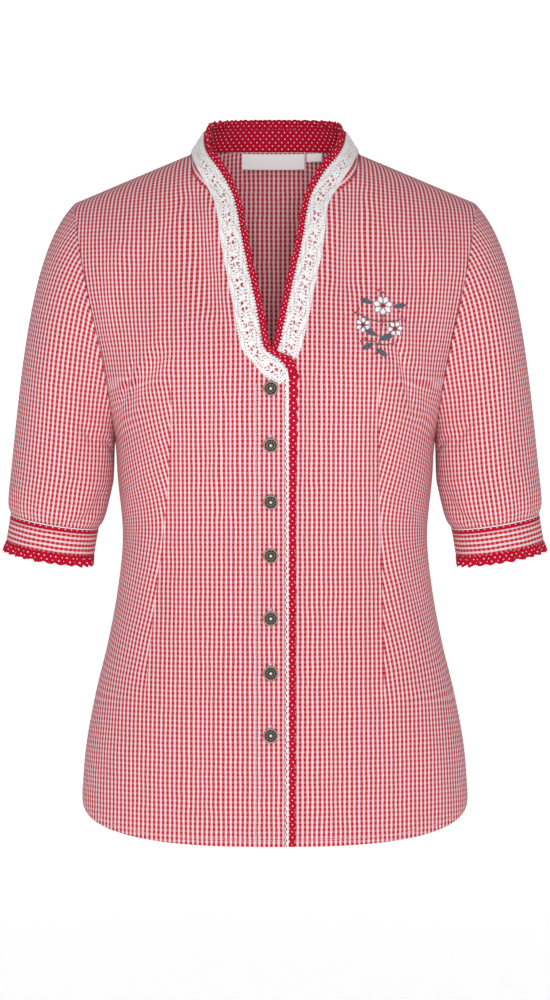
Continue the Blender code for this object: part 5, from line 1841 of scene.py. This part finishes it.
class BLOUSE_OT_stage(bpy.types.Operator):
    """Adds the pale floor and backdrop, the soft studio light and the camera"""

    bl_idname = "blouse.stage"
    bl_label = "Stage"

    def execute(self, context):
        settings = context.scene.blouse_stage
        scene = context.scene
        scene.view_settings.view_transform = "Standard"
        floor_z = -settings.floor_drop / MM
        bend = np.linspace(0.0, math.pi / 2.0, 13)
        radius = BACKDROP_BEND
        half_room = settings.room / MM / 2.0
        profile = [(-half_room, floor_z)]
        for turn in bend:
            forward = half_room + radius * (math.sin(turn) - 1.0)
            profile.append((forward, floor_z + radius * (1.0 - math.cos(turn))))
        profile.append((half_room, floor_z + half_room))
        points = [(x, y, z) for y, z in profile for x in (-half_room, half_room)]
        faces = [(2 * i, 2 * i + 1, 2 * i + 3, 2 * i + 2) for i in range(len(profile) - 1)]
        nodes = NodeBuilder("pale_floor")
        mottle = nodes.noise(nodes.node("ShaderNodeTexCoord").outputs["Object"], 2.0)
        light = settings.floor_colour
        dark = darker(light, 0.985)
        nodes.put(nodes.shader.inputs["Base Color"], nodes.blend(mottle, rgba(dark), rgba(light)))
        nodes.shader.inputs["Roughness"].default_value = 0.9
        nodes.shader.inputs["Emission Color"].default_value = (1.0, 1.0, 1.0, 1.0)
        nodes.shader.inputs["Emission Strength"].default_value = settings.backdrop_light
        floor = link("studio_floor", make_mesh("studio_floor", points, faces), nodes.material)
        world = bpy.data.worlds.new("studio")
        world.use_nodes = True
        background = world.node_tree.nodes["Background"]
        background.inputs["Color"].default_value = (1.0, 1.0, 1.0, 1.0)
        background.inputs["Strength"].default_value = settings.world_light
        scene.world = world
        middle = Vector((0.0, 0.0, settings.camera_height))
        for name, place, size, power in (
            ("key", (-1.3, -2.9, 0.9), 1.8, settings.key_light),
            ("front", (0.1, -3.7, -0.2), 0.8, settings.front_light),
            ("top", (0.0, -1.9, 1.7), 1.6, settings.top_light),
        ):
            lamp = bpy.data.lights.new(name, "AREA")
            lamp.size = size
            lamp.energy = power
            lamp_object = bpy.data.objects.new(name, lamp)
            lamp_object.location = place
            lamp_object.rotation_euler = (middle - Vector(place)).to_track_quat("-Z", "Y").to_euler()
            scene.collection.objects.link(lamp_object)
        camera = bpy.data.cameras.new("camera")
        camera.lens = settings.lens
        camera_object = bpy.data.objects.new("camera", camera)
        camera_object.location = (0.0, -settings.camera_distance, settings.camera_height)
        camera_object.rotation_euler = (math.pi / 2.0, 0.0, 0.0)
        scene.collection.objects.link(camera_object)
        scene.camera = camera_object
        return {"FINISHED"}


class BLOUSE_OT_body(bpy.types.Operator):
    """Makes the two fronts and the back as thin gingham shells with their darts and creases"""

    bl_idname = "blouse.body"
    bl_label = "Fronts and back"

    def execute(self, context):
        back, back_cut = make_back()
        declare_cloth(back_cut)
        for side, word in SIDES:
            front, cut = make_front(side, f"{word}_front_cloth", f"front_{word}")
            declare_cloth(cut)
        return {"FINISHED"}


class BLOUSE_OT_sleeves(bpy.types.Operator):
    """Makes the two sleeves with their checks running along the arm"""

    bl_idname = "blouse.sleeves"
    bl_label = "Sleeves"

    def execute(self, context):
        for side, word in SIDES:
            sleeve, cut = make_sleeve(side, f"{word}_sleeve_cloth", f"sleeve_{word}")
            declare_cloth(cut)
        return {"FINISHED"}


class BLOUSE_OT_collar(bpy.types.Operator):
    """Makes the stand collar and the dotted facing inside it"""

    bl_idname = "blouse.collar"
    bl_label = "Collar"

    def execute(self, context):
        grid, normals, stations = collar_grid(2.0, 12)
        places = strip_places(grid, turned=True)
        stand, cut = make_sheet("collar_stand_cloth", grid, places, material("gingham"), SHOWN_CLOTH,
                                flip=True)
        sew_on(stand, "gingham_cotton", "collar_stand")
        declare_cloth(cut)
        inside = grid - normals * (CLOTH + SEAM_GAP)
        along = lengths(grid[len(grid) // 2])
        first = stations[FACING_END]
        last = stations[-1 - FACING_END]
        chosen = (along >= first) & (along <= last)
        inside = inside[:, chosen]
        facing, cut = make_sheet("collar_facing_cloth", inside, strip_places(inside), material("pin_dot"),
                                 SHOWN_CLOTH, flip=True)
        sew_on(facing, "pin_dot_cotton", "collar_facing")
        declare_cloth(cut)
        return {"FINISHED"}


class BLOUSE_OT_lace(bpy.types.Operator):
    """Makes the bobbin-lace band in two halves, cut through at every oval and eyelet"""

    bl_idname = "blouse.lace"
    bl_label = "Lace"

    def execute(self, context):
        white = material("cotton_lace")
        for side, word in SIDES:
            lace, cut = make_lace(side, f"{word}_lace_band", f"lace_{word}", white)
            declare_cloth(cut)
        return {"FINISHED"}


class BLOUSE_OT_ruffles(bpy.types.Operator):
    """Makes the gathered ruffles of the neck and the placket"""

    bl_idname = "blouse.ruffles"
    bl_label = "Neck and front ruffles"

    def execute(self, context):
        neck, cut = make_neck_ruffle()
        declare_cloth(cut)
        front, cut = make_front_ruffle()
        declare_cloth(cut)
        return {"FINISHED"}


class BLOUSE_OT_trim(bpy.types.Operator):
    """Makes the white picot braid along the placket"""

    bl_idname = "blouse.trim"
    bl_label = "Picot trim"

    def execute(self, context):
        trim, cut = make_picot_trim(material("cotton_lace"))
        declare_cloth(cut)
        return {"FINISHED"}


class BLOUSE_OT_buttons(bpy.types.Operator):
    """Makes the seven cast metal buttons"""

    bl_idname = "blouse.buttons"
    bl_label = "Buttons"

    def execute(self, context):
        for number, z in enumerate(BUTTON_HEIGHTS, 1):
            make_button(number, z)
        return {"FINISHED"}


class BLOUSE_OT_cuffs(bpy.types.Operator):
    """Makes piping, binding, band and ruffle of both cuffs"""

    bl_idname = "blouse.cuffs"
    bl_label = "Cuffs"

    def execute(self, context):
        white = thread("cotton_piping", context.scene.blouse_trim.piping)
        proud = CUFF_PIPING_PROUD
        piping = [(0.0, -0.7), (0.1, 0.0), (0.35, proud), (0.6, proud + 0.1), (0.85, proud), (1.1, 0.0)]
        piping.append((CUFF_PIPING, -0.7))
        binding = [(CUFF_PIPING, -0.5), (CUFF_PIPING + 0.3, 0.0)]
        binding += [(d, 0.15) for d in np.linspace(CUFF_PIPING + 0.7, CUFF_BINDING_END - 0.5, 4)]
        binding += [(CUFF_BINDING_END - 0.1, 0.0), (CUFF_BINDING_END + 0.1, -0.5)]
        band = [(CUFF_BINDING_END, -0.5), (CUFF_BINDING_END + 0.3, 0.0)]
        band += [(d, 0.0) for d in np.linspace(CUFF_BINDING_END + 1.5, CUFF_BAND_END - 1.5, 9)]
        band += [(CUFF_BAND_END - 0.2, 0.0), (CUFF_BAND_END, -0.4)]
        for side, word in SIDES:
            ring, cut = make_cuff_ring(side, f"cuff_band_{word}", f"cuff_{word}", band,
                                       material("gingham"), "gingham_cotton", turned=True)
            declare_cloth(cut)
            ring, cut = make_cuff_ring(side, f"cuff_strip_{word}", f"cuff_binding_{word}", binding,
                                       material("pin_dot"), "pin_dot_cotton")
            declare_cloth(cut)
            make_cuff_ring(side, f"cuff_cord_{word}", f"cuff_piping_{word}", piping, white, "cotton_piping")
            frill, cut = make_cuff_ruffle(side, word)
            declare_cloth(cut)
        return {"FINISHED"}


class BLOUSE_OT_labels(bpy.types.Operator):
    """Makes the bare neck label and the small tab beside it"""

    bl_idname = "blouse.labels"
    bl_label = "Labels"

    def execute(self, context):
        finish = material("woven_label")
        label, cut = make_label("neck_label_ribbon", "neck_label", *NECK_LABEL, finish)
        declare_cloth(cut)
        tab, cut = make_label("size_label_ribbon", "size_label", *SIZE_TAB, finish)
        declare_cloth(cut)
        return {"FINISHED"}


class BLOUSE_OT_stitching(bpy.types.Operator):
    """Sews the topstitching of placket, hem and cuffs and the buttonhole threads"""

    bl_idname = "blouse.stitching"
    bl_label = "Stitching"

    def execute(self, context):
        settings = context.scene.blouse_trim
        white = thread("sewing_thread", settings.sewing)
        stitch = settings.stitch / MM
        runs = []

        def sew(line, facing, lift=0.12):
            starts, ends, outward = stitch_run(line + facing * lift, facing, stitch, STITCH_GAP)
            runs.append((starts, ends, outward, white))

        fine = np.linspace(0.0, 1.0, 400)
        for side in (-1, 1):
            sew(*panel_line("front", side, 0.01 + 0.98 * fine, HEM_STITCH_ROW + 0.0 * fine))
        sew(*panel_line("back", 1, -0.99 + 1.98 * fine, HEM_STITCH_ROW + 0.0 * fine))
        z = np.linspace(PLACKET_STITCH_LOW, PLACKET_STITCH_HIGH, 600)
        sew(*faced_front(-1, PLACKET_STITCH_X + 0.0 * z, z))
        turns = np.linspace(-math.pi, math.pi, 500)
        for side in (-1, 1):
            for down in (CUFF_BAND_END - 2.2, CUFF_BINDING_END + 1.0):
                line = cuff_ring(side, np.full(turns.shape, down), 0.1, turns)
                sew(line, unit(line - line.mean(axis=0)), 0.05)
        for height in BUTTON_HEIGHTS:
            x = BUTTON_X + np.array([-0.35, 0.35, 0.0])
            low = on_front(-1, x, height + BUTTON_RADIUS + 0.2 + 0.0 * x, 0.25)
            high = on_front(-1, x, height + BUTTON_RADIUS + np.array([2.6, 2.6, 3.0]), 0.25)
            runs.append((low, high, np.tile([0.0, -1.0, 0.0], (3, 1)), white))
        threads = make_threads("topstitching", runs, STITCH_RADIUS, rise=0.1)
        sew_on(threads, "cotton_lace")
        return {"FINISHED"}


class BLOUSE_OT_sprig(bpy.types.Operator):
    """Embroiders the sprig of flowers, leaves and berries on the wearer's left chest"""

    bl_idname = "blouse.sprig"
    bl_label = "Stitched sprig"

    def execute(self, context):
        settings = context.scene.blouse_trim
        finishes = {
            "slate": thread("slate_thread", settings.slate),
            "brown": thread("brown_thread", settings.brown),
            "dark_red": thread("dark_red_thread", settings.dark_red),
            "white": thread("white_thread", settings.lace),
        }
        sprig = make_threads("chest_sprig", sprig_runs(finishes), SPRIG_STITCH_RADIUS, rise=0.2)
        sew_on(sprig, "cotton_lace")
        return {"FINISHED"}


class BLOUSE_PT_tools(bpy.types.Panel):
    """Lists the steps that dress the blouse"""

    bl_idname = "BLOUSE_PT_tools"
    bl_label = "Blouse"
    bl_space_type = "VIEW_3D"
    bl_region_type = "UI"
    bl_category = "Blouse"

    def draw(self, context):
        for operator in OPERATORS:
            self.layout.operator(operator.bl_idname)
        for name in SETTINGS:
            group = getattr(context.scene, name)
            box = self.layout.box()
            for setting in group.__annotations__:
                box.prop(group, setting)


OPERATORS = (
    BLOUSE_OT_stage,
    BLOUSE_OT_body,
    BLOUSE_OT_sleeves,
    BLOUSE_OT_collar,
    BLOUSE_OT_lace,
    BLOUSE_OT_ruffles,
    BLOUSE_OT_trim,
    BLOUSE_OT_buttons,
    BLOUSE_OT_cuffs,
    BLOUSE_OT_labels,
    BLOUSE_OT_stitching,
    BLOUSE_OT_sprig,
)
SETTINGS = {
    "blouse_cloth": BlouseCloth,
    "blouse_dots": BlouseDots,
    "blouse_ruffles": BlouseRuffles,
    "blouse_trim": BlouseTrim,
    "blouse_buttons": BlouseButtons,
    "blouse_stage": BlouseStage,
}


def register():
    for group in SETTINGS.values():
        bpy.utils.register_class(group)
    for name, group in SETTINGS.items():
        setattr(bpy.types.Scene, name, PointerProperty(type=group))
    for operator in OPERATORS:
        bpy.utils.register_class(operator)
    bpy.utils.register_class(BLOUSE_PT_tools)


def unregister():
    bpy.utils.unregister_class(BLOUSE_PT_tools)
    for operator in reversed(OPERATORS):
        bpy.utils.unregister_class(operator)
    for name, group in SETTINGS.items():
        delattr(bpy.types.Scene, name)
        bpy.utils.unregister_class(group)


def main():
    register()
    bpy.ops.blouse.stage()
    bpy.ops.blouse.body()
    bpy.ops.blouse.sleeves()
    bpy.ops.blouse.collar()
    bpy.ops.blouse.lace()
    bpy.ops.blouse.ruffles()
    bpy.ops.blouse.trim()
    bpy.ops.blouse.buttons()
    bpy.ops.blouse.cuffs()
    bpy.ops.blouse.labels()
    bpy.ops.blouse.stitching()
    bpy.ops.blouse.sprig()


if __name__ == "__main__":
    main()
